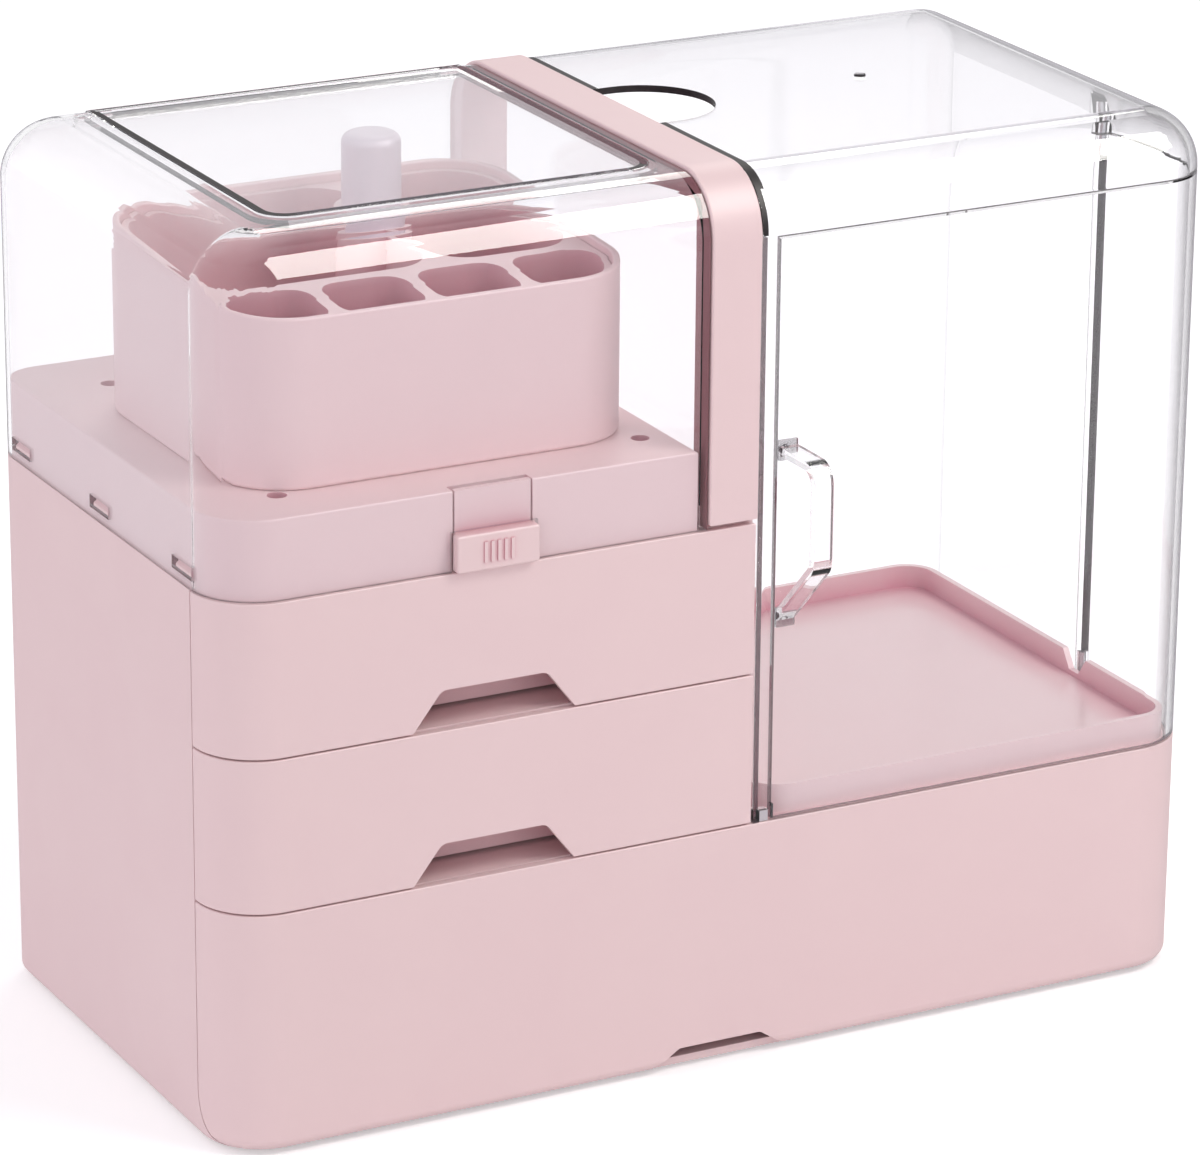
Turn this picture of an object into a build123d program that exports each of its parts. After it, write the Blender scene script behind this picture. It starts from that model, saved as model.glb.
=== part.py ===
from build123d import *
import math
import os

# Makeup organizer: a low wide housing with a tower of two small drawers on its left, a clear
# cover with a lid over the tower's deck, and a clear cupboard with a hinged door on its right.
# Millimetres, +X right, +Y back, +Z up. The origin lies under the middle of the whole object,
# on the surface that the feet stand on.

# Overall sizes of the body
body_width = 370.0
body_depth = 186.0
low_height = 83.7
small_front_pitch = 53.2
cover_height = 307.5
tower_width = 193.0
corner_radius = 22.0
back_corner_radius = 15.0
base_edge_radius = 4.0
front_wrap = 22.6
seam = 0.6

# What stands out of the body
foot_proud = 1.5
band_proud = 1.2
pull_reach = 25.0

# Walls
casing_wall = 2.7
plate_thickness = 2.5
shelf_thickness = 2.2
panel_thickness = 2.7
box_wall = 2.0
clear_wall = 2.4
slip_gap = 0.3
run_gap = 0.8

# Main planes of the body
left_x = -body_width / 2
right_x = body_width / 2
front_y = -(body_depth + pull_reach + band_proud) / 2 + pull_reach
back_y = front_y + body_depth
base_z = foot_proud
low_z = base_z + low_height
middle_z = low_z + small_front_pitch
tower_z = middle_z + small_front_pitch
cover_z = base_z + cover_height
tower_right_x = left_x + tower_width
seam_y = front_y + front_wrap
panel_back_y = front_y + panel_thickness
far = 600.0

# Fronts: the wide front's lower rear corners are round, and each has a finger notch below
front_low_radius = 18.0
front_rim = 0.5
small_notch_width = 59.0
small_notch_top_width = 38.0
small_notch_height = 13.5
small_notch_radius = 4.0
wide_notch_width = 52.0
wide_notch_top_width = 31.0
wide_notch_height = 7.0
wide_notch_radius = 2.5
wide_notch_x = -3.0
pocket_depth = 15.0
pocket_margin = 3.0

# Drawers
small_travel = 130.0
wide_travel = 130.0
skid_height = 1.2
skid_width = 6.0
skid_inset = 14.0
box_radius = 5.0
box_headroom = 6.2
wide_box_headroom = 9.0
stop_headroom = 0.8
stop_lug_width = 12.0
stop_lug_thickness = 2.2
stop_rib_height = 2.6
stop_rib_width = 22.0
stop_gap = 0.5
ledge_width = 2.0
ledge_height = 2.0

# Feet
foot_radius = 6.5
foot_thickness = 2.0
foot_inset = 26.0
foot_edge = 0.5
foot_clearance = 0.15

# Deck under the clear cover
deck_height = 27.0
deck_plate = 2.5
deck_wall = 2.4
deck_edge = 0.7
deck_screw_inset_left = 31.0
deck_screw_inset_right = 10.0
deck_screw_inset_front = 24.0
deck_screw_inset_back = 32.0
deck_boss_radius = 5.0
deck_boss_floor = 3.0
deck_screw_radius = 1.5
deck_screw_head_radius = 2.8
deck_screw_head_height = 2.2
deck_screw_length = 8.0
deck_screw_well_gap = 0.3
screw_clearance = 0.05
screw_slot_width = 0.8
screw_slot_length = 3.2
casing_boss_height = 4.0

# Snap hooks of the deck in the windows of the cover
snap_window_length = 15.5
snap_window_height = 4.4
snap_window_low = 3.4
snap_spacing = 66.5
snap_from_front = 95.5
snap_hook_length = 12.0
snap_hook_height = 2.8
snap_hook_reach = 2.0

# Latch button in the front of the deck
latch_x = -88.3
latch_slot_width = 28.6
latch_side_gap = 0.7
latch_pad_width = 29.6
latch_pad_height = 12.6
latch_pad_proud = 3.0
latch_cut_gap = 0.7
latch_pad_corner = 1.0
latch_pad_edge = 0.8
latch_plate = 2.2
latch_travel = 2.0
latch_rib_count = 5
latch_rib_pitch = 2.4
latch_rib_width = 1.2
latch_rib_height = 7.0
latch_rib_proud = 0.5
spring_radius = 3.0
spring_wire = 0.35
spring_turns = 6
spring_length = 10.0
spring_seat_radius = 3.8
spring_seat_depth = 4.0
spring_seat_wall = 1.6

# Handle band between the clear halves
band_width = 18.0
band_gap = 0.5
band_leg = 9.4
band_top = 5.0
band_radius = 21.2
band_inner_radius = 14.0
band_edge = 0.6
band_foot_height = 1.8
band_screw_radius = 1.25
band_screw_head_radius = 2.3
band_screw_head_height = 1.8
band_screw_length = 11.0
band_screw_spacing = 8.0
band_screw_inset = 6.2

# Clear covers
cover_radius = 20.0
lid_left_inset = 30.5
lid_front_inset = 26.0
lid_right_inset = 5.2
lid_corner_radius = 10.0
lid_gap = 0.4
lid_ledge_width = 3.0
lid_ledge_height = 1.6
lid_hinge_inset = 15.5
lid_barrel_radius = 3.2
lid_barrel_clear = 0.9
lid_pin_radius = 1.0
lid_pin_clearance = 0.05
lid_ear_width = 4.0
lid_ear_radius = 2.6
lid_pin_reach = 8.0
bay_gap = 0.8
jamb_width = 6.0
jamb_depth = 9.0
door_gap = 0.7
cap_height = 21.0
hinge_inset_x = 3.2
hinge_from_front = 71.0
bead_radius = 2.6
door_pin_radius = 1.25
door_pin_clearance = 0.05
door_pin_reach = 9.0
door_pin_seat = 7.0
hinge_swing_gap = 1.1
hinge_boss_radius = 4.2
hinge_boss_height = 7.5
hinge_lug_height = 10.0
bay_notch_radius = 24.0
bay_notch_reach = 8.0
bay_notch_from_front = 97.0
gate_nib_radius = 2.0
gate_nib_height = 0.6
gate_nib_x = 100.0
bay_tab_length = 12.0
bay_tab_thickness = 1.1
bay_tab_depth = 4.0
bay_tab_clearance = 0.15
bay_tab_inset_left = 40.0
bay_tab_inset_right = 50.0

# Pull handle of the door
pull_width = 7.0
pull_thickness = 3.0
pull_top_height = 215.5
pull_grip_height = 34.0
pull_drop = 24.0
pull_radius = 6.0
pull_pad_height = 7.0
pull_pad_thickness = 1.2
pull_peg_radius = 1.2
pull_peg_clearance = 0.05

# Catch at the foot of the door's free edge
catch_inset = 0.5
catch_depth = 4.1
catch_height = 4.0
catch_gap = 0.2
striker_width = 1.0
striker_height = 5.0

# Tray in the right bay
tray_height = 10.0
tray_wall = 2.2
tray_floor = 1.8
tray_radius = 12.0
tray_left_gap = 5.4
tray_right_gap = 6.5
tray_front_gap = 5.0
tray_back_gap = 7.0
tray_dip_width = 15.0
tray_dip_low_width = 6.0
tray_dip_depth = 6.5
tray_dip_ahead = 3.0

# Brush cup on the deck, its divider insert and the lift post
cup_left = 20.0
cup_right = 163.0
cup_front = 24.0
cup_back = 143.0
cup_radius = 24.0
cup_headroom = 24.9
cup_rim_slope = 8.5
cup_wall = 2.4
cup_rim = 0.8
cup_foot_radius = 1.5
insert_gap = 0.4
insert_drop = 3.0
insert_floor = 2.0
insert_wall = 2.4
brush_count = 4
brush_web = 4.4
brush_depth = 28.0
brush_radius = 9.0
well_radius = 14.0
post_radius = 10.0
post_from_left = 107.5
post_from_front = 113.0
post_clear = 1.8
post_dome = 3.5
post_gap = 0.1

tower_plate_z = tower_z - plate_thickness
low_plate_z = low_z - plate_thickness
shelf_top_z = middle_z + seam / 2
shelf_low_z = shelf_top_z - shelf_thickness
shelf_left_x = left_x + casing_wall
shelf_right_x = tower_right_x - casing_wall
cover_inset = clear_wall + slip_gap
deck_z = tower_z + deck_height
deck_front_y = front_y + cover_inset
band_left_x = tower_right_x - bay_gap / 2 - band_width
band_right_x = band_left_x + band_width
band_middle_x = (band_left_x + band_right_x) / 2
dome_right_x = band_left_x - band_gap
dome_low_z = tower_z + seam / 2
deck_right_x = dome_right_x - cover_inset
bay_left_x = band_right_x + bay_gap
jamb_right_x = bay_left_x + jamb_width
door_left_x = jamb_right_x + door_gap
door_low_z = low_z + door_gap
cap_low_z = cover_z - cap_height
door_top_z = cap_low_z - door_gap
hinge_x = right_x - hinge_inset_x
hinge_y = front_y + hinge_from_front
lid_left_x = left_x + lid_left_inset
lid_right_x = dome_right_x - lid_right_inset
lid_front_y = front_y + lid_front_inset
lid_hinge_y = back_y - lid_hinge_inset
lid_hinge_z = cover_z - lid_barrel_radius
lid_low_z = cover_z - clear_wall
latch_back_y = deck_front_y + latch_plate
pad_back_y = deck_front_y - latch_travel - slip_gap
pad_low_z = tower_z + seam / 2
pad_front_y = front_y - latch_pad_proud
small_middle_x = (shelf_left_x + shelf_right_x) / 2
drawer_inset = casing_wall + run_gap
drawer_back_y = back_y - drawer_inset
small_rib_y = drawer_back_y - stop_lug_thickness - small_travel - stop_gap
wide_rib_y = drawer_back_y - stop_lug_thickness - wide_travel - stop_gap
front_room_inset = panel_thickness + seam

deck_screw_places = [
    (x, y)
    for x in (left_x + deck_screw_inset_left, deck_right_x - deck_screw_inset_right)
    for y in (front_y + deck_screw_inset_front, back_y - deck_screw_inset_back)
]
band_screw_places = [
    (band_middle_x + side * band_screw_spacing / 2, y)
    for side in (-1, 1)
    for y in (front_y + band_screw_inset, back_y - band_screw_inset)
]
foot_places = [
    (x, y)
    for x in (left_x + foot_inset, right_x - foot_inset)
    for y in (front_y + foot_inset, back_y - foot_inset)
]
snap_places = [front_y + snap_from_front + step * snap_spacing for step in (-1, 0, 1)]
bay_tab_places = [
    (bay_left_x + bay_tab_inset_left, back_y - casing_wall / 2, 0),
    (right_x - bay_tab_inset_right, back_y - casing_wall / 2, 0),
    (right_x - casing_wall / 2, back_y - bay_tab_inset_right, 90),
]

os.makedirs("parts", exist_ok=True)


def plan(x_low, x_high, inset=0.0, front_inset=None, round_left=True, round_right=True):
    """Plan of the body between two sides, drawn in by inset, with its outer corners round."""
    x_low += inset if round_left else 0.0
    x_high -= inset if round_right else 0.0
    y_low = front_y + (inset if front_inset is None else front_inset)
    y_high = back_y - inset
    with BuildSketch() as shape:
        with Locations(((x_low + x_high) / 2, (y_low + y_high) / 2)):
            Rectangle(x_high - x_low, y_high - y_low)
        for level, radius in ((0, corner_radius), (-1, back_corner_radius)):
            pair = shape.vertices().group_by(Axis.Y)[level].sort_by(Axis.X)
            chosen = [corner for corner, round_it in zip(pair, (round_left, round_right)) if round_it]
            fillet(chosen, radius - inset)
    return shape.sketch


def arch(y_low, y_high, z_low, z_high, radius):
    """A face in depth and height with its two upper corners round."""
    with BuildSketch() as shape:
        with Locations(((y_low + y_high) / 2, (z_low + z_high) / 2)):
            Rectangle(y_high - y_low, z_high - z_low)
        fillet(shape.vertices().group_by(Axis.Y)[-1], radius)
    return shape.sketch


def block(x_low, x_high, y_low, y_high, z_low, z_high, mode=Mode.ADD):
    """A plain box between six planes."""
    with Locations(((x_low + x_high) / 2, (y_low + y_high) / 2, (z_low + z_high) / 2)):
        Box(x_high - x_low, y_high - y_low, z_high - z_low, mode=mode)


def upright(x, y, z_low, z_high, radius, mode=Mode.ADD):
    """A round post or hole along Z."""
    with Locations((x, y, (z_low + z_high) / 2)):
        Cylinder(radius, z_high - z_low, mode=mode)


def notch(x, z_low, width, top_width, height, radius, y_low, y_high):
    """A finger notch upwards from z_low, wide below and with round upper corners."""
    with BuildSketch(Plane.XZ.offset(-y_high)) as opening:
        with BuildLine():
            FilletPolyline(
                (x - width / 2, z_low),
                (x - top_width / 2, z_low + height),
                (x + top_width / 2, z_low + height),
                (x + width / 2, z_low),
                radius=radius,
            )
            Polyline(
                (x + width / 2, z_low),
                (x + width / 2, z_low - height),
                (x - width / 2, z_low - height),
                (x - width / 2, z_low),
            )
        make_face()
    extrude(opening.sketch, amount=y_high - y_low, mode=Mode.SUBTRACT)


def front_zone(grow):
    """All ahead of the side seam of the wide front, round at its lower rear corners."""
    rear_y = seam_y + grow
    arc_y = seam_y - front_low_radius
    arc_z = base_z + front_low_radius
    arc_radius = front_low_radius + grow
    arc_reach = arc_radius * math.sqrt(0.5)
    with BuildPart() as zone:
        with BuildSketch(Plane.YZ.offset(-far)):
            with BuildLine():
                ThreePointArc(
                    (arc_y, arc_z - arc_radius), (arc_y + arc_reach, arc_z - arc_reach), (rear_y, arc_z)
                )
                Polyline(
                    (rear_y, arc_z), (rear_y, far), (-far, far), (-far, -far), (arc_y, -far),
                    (arc_y, arc_z - arc_radius),
                )
            make_face()
        extrude(amount=2 * far)
    return zone.part


def front_room(z_low, z_high):
    """Space outside the casing's walls where a drawer's front may stand."""
    with BuildPart() as room:
        with BuildSketch(Plane.XY.offset(z_low)):
            Rectangle(far * 2, far * 2)
            add(plan(left_x, right_x, inset=front_room_inset), mode=Mode.SUBTRACT)
        extrude(amount=z_high - z_low)
    return room.part


def clear_skin(x_low, x_high, z_low, z_high, inset, round_left, round_right):
    """A solid with the outline of a clear cover, its open side flat and its other edges round."""
    with BuildPart() as skin:
        with BuildSketch(Plane.XY.offset(z_low)):
            add(plan(x_low, x_high, inset, round_left=round_left, round_right=round_right))
        extrude(amount=z_high - z_low)
        flat_x = x_low if round_right else x_high
        rim = skin.faces().sort_by(Axis.Z)[-1].edges()
        fillet(rim.filter_by(lambda edge: abs(edge.center().X - flat_x) > seam), cover_radius - inset)
    return skin.part


# Casing: one moulding, low on the right and high on the left, open to the front
with BuildPart() as casing:
    with BuildSketch(Plane.XY.offset(base_z)):
        add(plan(left_x, right_x))
    extrude(amount=low_height)
    fillet(casing.faces().sort_by(Axis.Z)[0].edges(), base_edge_radius)
    with BuildSketch(Plane.XY.offset(low_z)):
        add(plan(left_x, tower_right_x, round_right=False))
    extrude(amount=tower_z - low_z)
    # The bays of the wide drawer and of the two small ones
    with BuildSketch(Plane.XY.offset(base_z + casing_wall)):
        add(plan(left_x, right_x, inset=casing_wall))
    extrude(amount=low_plate_z - base_z - casing_wall, mode=Mode.SUBTRACT)
    with BuildSketch(Plane.XY.offset(low_z)):
        add(plan(left_x, shelf_right_x, inset=casing_wall, round_right=False))
    extrude(amount=tower_plate_z - low_z, mode=Mode.SUBTRACT)
    # Room for the drawer fronts, which wrap round the front corners
    with BuildPart(mode=Mode.PRIVATE) as wide_front_room:
        add(front_room(base_z - seam, low_z))
        add(front_zone(seam), mode=Mode.INTERSECT)
    add(wide_front_room.part, mode=Mode.SUBTRACT)
    with BuildPart(mode=Mode.PRIVATE) as small_front_room:
        add(front_room(low_z, cover_z))
        block(-far, far, -far, seam_y + seam, base_z, cover_z, mode=Mode.INTERSECT)
    add(small_front_room.part, mode=Mode.SUBTRACT)
    # Ledges that carry the shelf between the small drawers
    ledge_low_z = shelf_low_z - ledge_height
    ledge_front_y = seam_y + seam
    block(shelf_left_x, shelf_left_x + ledge_width, ledge_front_y, back_y - back_corner_radius,
          ledge_low_z, shelf_low_z)
    block(shelf_right_x - ledge_width, shelf_right_x, ledge_front_y, back_y - casing_wall,
          ledge_low_z, shelf_low_z)
    # Bosses under the top plate take the deck's screws
    for x, y in deck_screw_places:
        upright(x, y, tower_plate_z - casing_boss_height, tower_plate_z, deck_boss_radius)
        upright(x, y, tower_plate_z - casing_boss_height, tower_z,
                deck_screw_radius + screw_clearance, Mode.SUBTRACT)
    for x, y in band_screw_places:
        upright(x, y, tower_plate_z, tower_z, band_screw_radius + screw_clearance, Mode.SUBTRACT)
    # Boss for the door's lower pin, in the corner under the shelf
    upright(hinge_x, hinge_y, low_z - hinge_boss_height, low_plate_z, hinge_boss_radius)
    block(right_x, far, hinge_y - hinge_boss_radius, hinge_y + hinge_boss_radius, base_z, low_z,
          Mode.SUBTRACT)
    upright(hinge_x, hinge_y, low_z - door_pin_seat, low_z,
            door_pin_radius + door_pin_clearance, Mode.SUBTRACT)
    # Slots for the tabs of the clear shell
    for x, y, turn in bay_tab_places:
        with Locations(Location((x, y, low_z - bay_tab_depth / 2), (0, 0, turn))):
            Box(
                bay_tab_length + 2 * bay_tab_clearance, bay_tab_thickness + 2 * bay_tab_clearance,
                bay_tab_depth + 2 * bay_tab_clearance, mode=Mode.SUBTRACT,
            )
    # Shallow seats for the feet
    for x, y in foot_places:
        upright(x, y, 0, foot_thickness, foot_radius + foot_clearance, Mode.SUBTRACT)
    # Ribs that stop the upper and the wide drawer
    block(small_middle_x - stop_rib_width / 2, small_middle_x + stop_rib_width / 2,
          small_rib_y - stop_lug_thickness, small_rib_y,
          tower_plate_z - stop_rib_height, tower_plate_z)
    block(-stop_rib_width / 2, stop_rib_width / 2, wide_rib_y - stop_lug_thickness, wide_rib_y,
          low_plate_z - stop_rib_height, low_plate_z)
casing.part.label = "casing"
export_step(casing.part, "parts/casing.step")

# Shelf between the small drawers, with the lower drawer's stop rib under it
with BuildPart() as tower_shelf:
    with BuildSketch(Plane.XY.offset(shelf_low_z)):
        add(plan(left_x, shelf_right_x - slip_gap, inset=front_room_inset, round_right=False))
    extrude(amount=shelf_thickness)
    block(small_middle_x - stop_rib_width / 2, small_middle_x + stop_rib_width / 2,
          small_rib_y - stop_lug_thickness, small_rib_y,
          shelf_low_z - stop_rib_height, shelf_low_z)
tower_shelf.part.label = "tower_shelf"
export_step(tower_shelf.part, "parts/tower_shelf.step")

with BuildPart() as foot_pads:
    for x, y in foot_places:
        upright(x, y, 0, foot_thickness, foot_radius)
    fillet(foot_pads.faces().filter_by(Axis.Z).group_by(Axis.Z)[0].edges(), foot_edge)
foot_pads.part.label = "foot_pads"
export_step(foot_pads.part, "parts/foot_pads.step")


def drawer_box(name, outline, floor_z, plate_z, headroom, notch_x, notch_width, notch_height, stop_x):
    """A drawer box on two skids, with a finger pocket in its front and a stop lug behind."""
    bottom_z = floor_z + slip_gap + skid_height
    rim_z = plate_z - headroom
    x_low = outline.bounding_box().min.X
    x_high = outline.bounding_box().max.X
    pocket_back_y = panel_back_y + pocket_depth
    pocket_low_x = notch_x - notch_width / 2 - pocket_margin
    pocket_high_x = notch_x + notch_width / 2 + pocket_margin
    pocket_top_z = floor_z + notch_height + pocket_margin
    with BuildSketch(Plane.XY.offset(bottom_z + box_wall)) as inside:
        add(outline)
        offset(amount=-box_wall, mode=Mode.REPLACE)
    with BuildPart() as box:
        with BuildSketch(Plane.XY.offset(bottom_z)):
            add(outline)
        extrude(amount=rim_z - bottom_z)
        extrude(inside.sketch, amount=rim_z - bottom_z, mode=Mode.SUBTRACT)
        block(pocket_low_x - box_wall, pocket_high_x + box_wall, panel_back_y,
              pocket_back_y + box_wall, bottom_z, pocket_top_z + box_wall)
        block(pocket_low_x, pocket_high_x, panel_back_y, pocket_back_y, bottom_z, pocket_top_z,
              Mode.SUBTRACT)
        for skid_x in (x_low + skid_inset, x_high - skid_inset):
            block(skid_x - skid_width / 2, skid_x + skid_width / 2,
                  seam_y, drawer_back_y - back_corner_radius,
                  bottom_z - skid_height, bottom_z)
        block(stop_x - stop_lug_width / 2, stop_x + stop_lug_width / 2,
              drawer_back_y - stop_lug_thickness, drawer_back_y,
              rim_z - box_wall, plate_z - stop_headroom)
    box.part.label = name
    export_step(box.part, f"parts/{name}.step")


with BuildSketch() as small_outline:
    add(plan(left_x, shelf_right_x - run_gap, drawer_inset, panel_thickness, round_right=False))
    fillet(small_outline.vertices().group_by(Axis.X)[-1], box_radius)
wide_outline = plan(left_x, right_x, drawer_inset, panel_thickness)
drawer_box("upper_drawer_box", small_outline.sketch, shelf_top_z, tower_plate_z, box_headroom,
           latch_x, small_notch_width, small_notch_height, small_middle_x)
drawer_box("lower_drawer_box", small_outline.sketch, low_z, shelf_low_z, box_headroom,
           latch_x, small_notch_width, small_notch_height, small_middle_x)
drawer_box("wide_drawer_box", wide_outline, base_z + casing_wall, low_plate_z, wide_box_headroom,
           wide_notch_x, wide_notch_width, wide_notch_height, 0)


def small_front(name, z_low, z_high):
    """Front of a small drawer: flat, and wrapped round the left corner as far as the seam."""
    with BuildSketch(Plane.XY.offset(z_low - seam)) as inside:
        add(plan(left_x, far, inset=panel_thickness, round_right=False))
    with BuildPart() as panel:
        with BuildSketch(Plane.XY.offset(z_low)):
            add(plan(left_x, tower_right_x - seam, round_right=False))
        extrude(amount=z_high - z_low)
        fillet(panel.faces().filter_by(Axis.Z).edges(), front_rim)
        extrude(inside.sketch, amount=z_high - z_low + 2 * seam, mode=Mode.SUBTRACT)
        block(-far, far, -far, seam_y, z_low, z_high, Mode.INTERSECT)
        notch(latch_x, z_low, small_notch_width, small_notch_top_width, small_notch_height,
              small_notch_radius, front_y - seam, panel_back_y + seam)
    panel.part.label = name
    export_step(panel.part, f"parts/{name}.step")


small_front("upper_drawer_front", middle_z + seam / 2, tower_z - seam / 2)
small_front("lower_drawer_front", low_z + seam / 2, middle_z - seam / 2)

# Wide front: wraps round both front corners, round at its lower rear corners
with BuildPart() as wide_drawer_front:
    with BuildSketch(Plane.XY.offset(base_z)):
        add(plan(left_x, right_x))
    extrude(amount=low_height - seam / 2)
    fillet(wide_drawer_front.faces().sort_by(Axis.Z)[0].edges(), base_edge_radius)
    fillet(wide_drawer_front.faces().sort_by(Axis.Z)[-1].edges(), front_rim)
    with BuildSketch(Plane.XY.offset(base_z - seam)):
        add(plan(left_x, right_x, inset=panel_thickness))
    extrude(amount=low_height + 2 * seam, mode=Mode.SUBTRACT)
    add(front_zone(0), mode=Mode.INTERSECT)
    notch(wide_notch_x, base_z, wide_notch_width, wide_notch_top_width, wide_notch_height,
          wide_notch_radius, front_y - seam, panel_back_y + seam)
wide_drawer_front.part.label = "wide_drawer_front"
export_step(wide_drawer_front.part, "parts/wide_drawer_front.step")

# Deck: an upturned shallow tray on the tower, screwed down through four wells
spring_z = tower_z + deck_height / 2
seat_front_y = latch_back_y + spring_length - spring_seat_depth
seat_back_y = seat_front_y + spring_seat_depth + latch_travel + slip_gap
with BuildPart() as deck:
    with BuildSketch(Plane.XY.offset(tower_z)):
        add(plan(left_x, deck_right_x, inset=cover_inset, round_right=False))
    extrude(amount=deck_height)
    fillet(deck.faces().sort_by(Axis.Z)[-1].edges(), deck_edge)
    with BuildSketch(Plane.XY.offset(tower_z)):
        add(plan(left_x, deck_right_x - deck_wall, inset=cover_inset + deck_wall, round_right=False))
    extrude(amount=deck_height - deck_plate, mode=Mode.SUBTRACT)
    for x, y in deck_screw_places:
        upright(x, y, tower_z, deck_z - deck_plate, deck_boss_radius)
        upright(x, y, tower_z + deck_boss_floor, deck_z,
                deck_screw_head_radius + deck_screw_well_gap, Mode.SUBTRACT)
        upright(x, y, tower_z, deck_z, deck_screw_radius + screw_clearance, Mode.SUBTRACT)
    # Slot of the latch button, through the front wall and the edge of the top
    block(latch_x - latch_slot_width / 2, latch_x + latch_slot_width / 2,
          deck_front_y - seam, latch_back_y + latch_travel + seam, tower_z, deck_z, Mode.SUBTRACT)
    # Seat of the spring: a post with a blind hole that faces the button
    seat_half_width = spring_seat_radius + spring_seat_wall
    block(latch_x - seat_half_width, latch_x + seat_half_width, seat_front_y,
          seat_back_y + spring_seat_wall, tower_z, deck_z - deck_plate)
    with Locations(Location((latch_x, (seat_front_y + seat_back_y) / 2, spring_z), (90, 0, 0))):
        Cylinder(spring_seat_radius, seat_back_y - seat_front_y, mode=Mode.SUBTRACT)
    # Snap hooks on the left wall, sloped above so that the cover slides over them
    hook_low_z = tower_z + snap_window_low + (snap_window_height - snap_hook_height) / 2
    hook_root_x = left_x + cover_inset
    for y in snap_places:
        with BuildSketch(Plane.XZ.offset(-y - snap_hook_length / 2)):
            with BuildLine():
                Polyline(
                    (hook_root_x + deck_wall / 2, hook_low_z),
                    (hook_root_x - snap_hook_reach, hook_low_z),
                    (hook_root_x - snap_hook_reach, hook_low_z + snap_hook_height / 3),
                    (hook_root_x, hook_low_z + snap_hook_height),
                    (hook_root_x + deck_wall / 2, hook_low_z + snap_hook_height),
                    close=True,
                )
            make_face()
        extrude(amount=snap_hook_length)
deck.part.label = "deck"
export_step(deck.part, "parts/deck.step")


def screws(name, places, seat_z, turn, length, radius, head_radius, head_height):
    """A group of cross-recess screws; turn is 1 where the shank points up and -1 where down."""
    tip_z = seat_z + turn * length
    crown_z = seat_z - turn * head_height
    with BuildPart() as group:
        for x, y in places:
            upright(x, y, min(seat_z, tip_z), max(seat_z, tip_z), radius)
            upright(x, y, min(seat_z, crown_z), max(seat_z, crown_z), head_radius)
            for arm_x, arm_y in (
                (screw_slot_length, screw_slot_width), (screw_slot_width, screw_slot_length)
            ):
                block(x - arm_x / 2, x + arm_x / 2, y - arm_y / 2, y + arm_y / 2,
                      crown_z - head_height / 2, crown_z + head_height / 2, Mode.SUBTRACT)
    group.part.label = name
    export_step(group.part, f"parts/{name}.step")


screws("deck_screws", deck_screw_places, tower_z + deck_boss_floor, -1, deck_screw_length,
       deck_screw_radius, deck_screw_head_radius, deck_screw_head_height)
screws("band_screws", band_screw_places, tower_plate_z, 1, band_screw_length,
       band_screw_radius, band_screw_head_radius, band_screw_head_height)

# Latch button: a plate that fills the slot, and a neck with a ribbed pad through the clear cover
with BuildPart() as latch_button:
    block(latch_x - latch_pad_width / 2, latch_x + latch_pad_width / 2, pad_front_y, pad_back_y,
          pad_low_z, pad_low_z + latch_pad_height)
    fillet(latch_button.edges().filter_by(Axis.Y), latch_pad_corner)
    fillet(latch_button.faces().sort_by(Axis.Y)[0].edges(), latch_pad_edge)
    plate_half_width = latch_slot_width / 2 - latch_side_gap
    block(latch_x - plate_half_width, latch_x + plate_half_width, pad_back_y, deck_front_y,
          pad_low_z, pad_low_z + latch_pad_height)
    block(latch_x - plate_half_width, latch_x + plate_half_width, deck_front_y, latch_back_y,
          pad_low_z, deck_z)
    rib_z = pad_low_z + latch_pad_height / 2
    for step in range(latch_rib_count):
        rib_x = latch_x + (step - (latch_rib_count - 1) / 2) * latch_rib_pitch
        block(rib_x - latch_rib_width / 2, rib_x + latch_rib_width / 2,
              pad_front_y - latch_rib_proud, pad_front_y + latch_rib_proud,
              rib_z - latch_rib_height / 2, rib_z + latch_rib_height / 2)
latch_button.part.label = "latch_button"
export_step(latch_button.part, "parts/latch_button.step")

# Spring behind the button; its rear end has room to slide in the seat's blind hole
coil_pitch = (spring_length - 2 * spring_wire) / spring_turns
with BuildPart() as latch_spring:
    with BuildLine() as coil:
        Helix(
            coil_pitch, coil_pitch * spring_turns, spring_radius,
            center=(latch_x, latch_back_y + spring_wire, spring_z), direction=(0, 1, 0),
        )
    with BuildSketch(Plane(origin=coil.line @ 0, z_dir=coil.line % 0)):
        Circle(spring_wire)
    sweep(path=coil.line)
latch_spring.part.label = "latch_spring"
export_step(latch_spring.part, "parts/latch_spring.step")


# Clear cover: a hood over the deck, with the lid's well and its ledge in the top
lid_well_back_y = lid_hinge_y + lid_barrel_radius + lid_barrel_clear
ledge_back_y = lid_hinge_y - lid_barrel_radius - lid_barrel_clear
ledge_top_z = lid_low_z - slip_gap
button_cut_half = latch_pad_width / 2 + latch_cut_gap
ear_spans = [
    (lid_left_x - lid_gap - lid_ear_width, lid_left_x - lid_gap),
    (lid_right_x + lid_gap, lid_right_x + lid_gap + lid_ear_width),
]


def lid_outline(grow, y_high):
    """Outline of the lid, let out by grow, with its front corners round."""
    with BuildSketch() as shape:
        with Locations(((lid_left_x + lid_right_x) / 2, (lid_front_y - grow + y_high) / 2)):
            Rectangle(lid_right_x - lid_left_x + 2 * grow, y_high - lid_front_y + grow)
        fillet(shape.vertices().group_by(Axis.Y)[0], lid_corner_radius + grow)
    return shape.sketch


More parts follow.
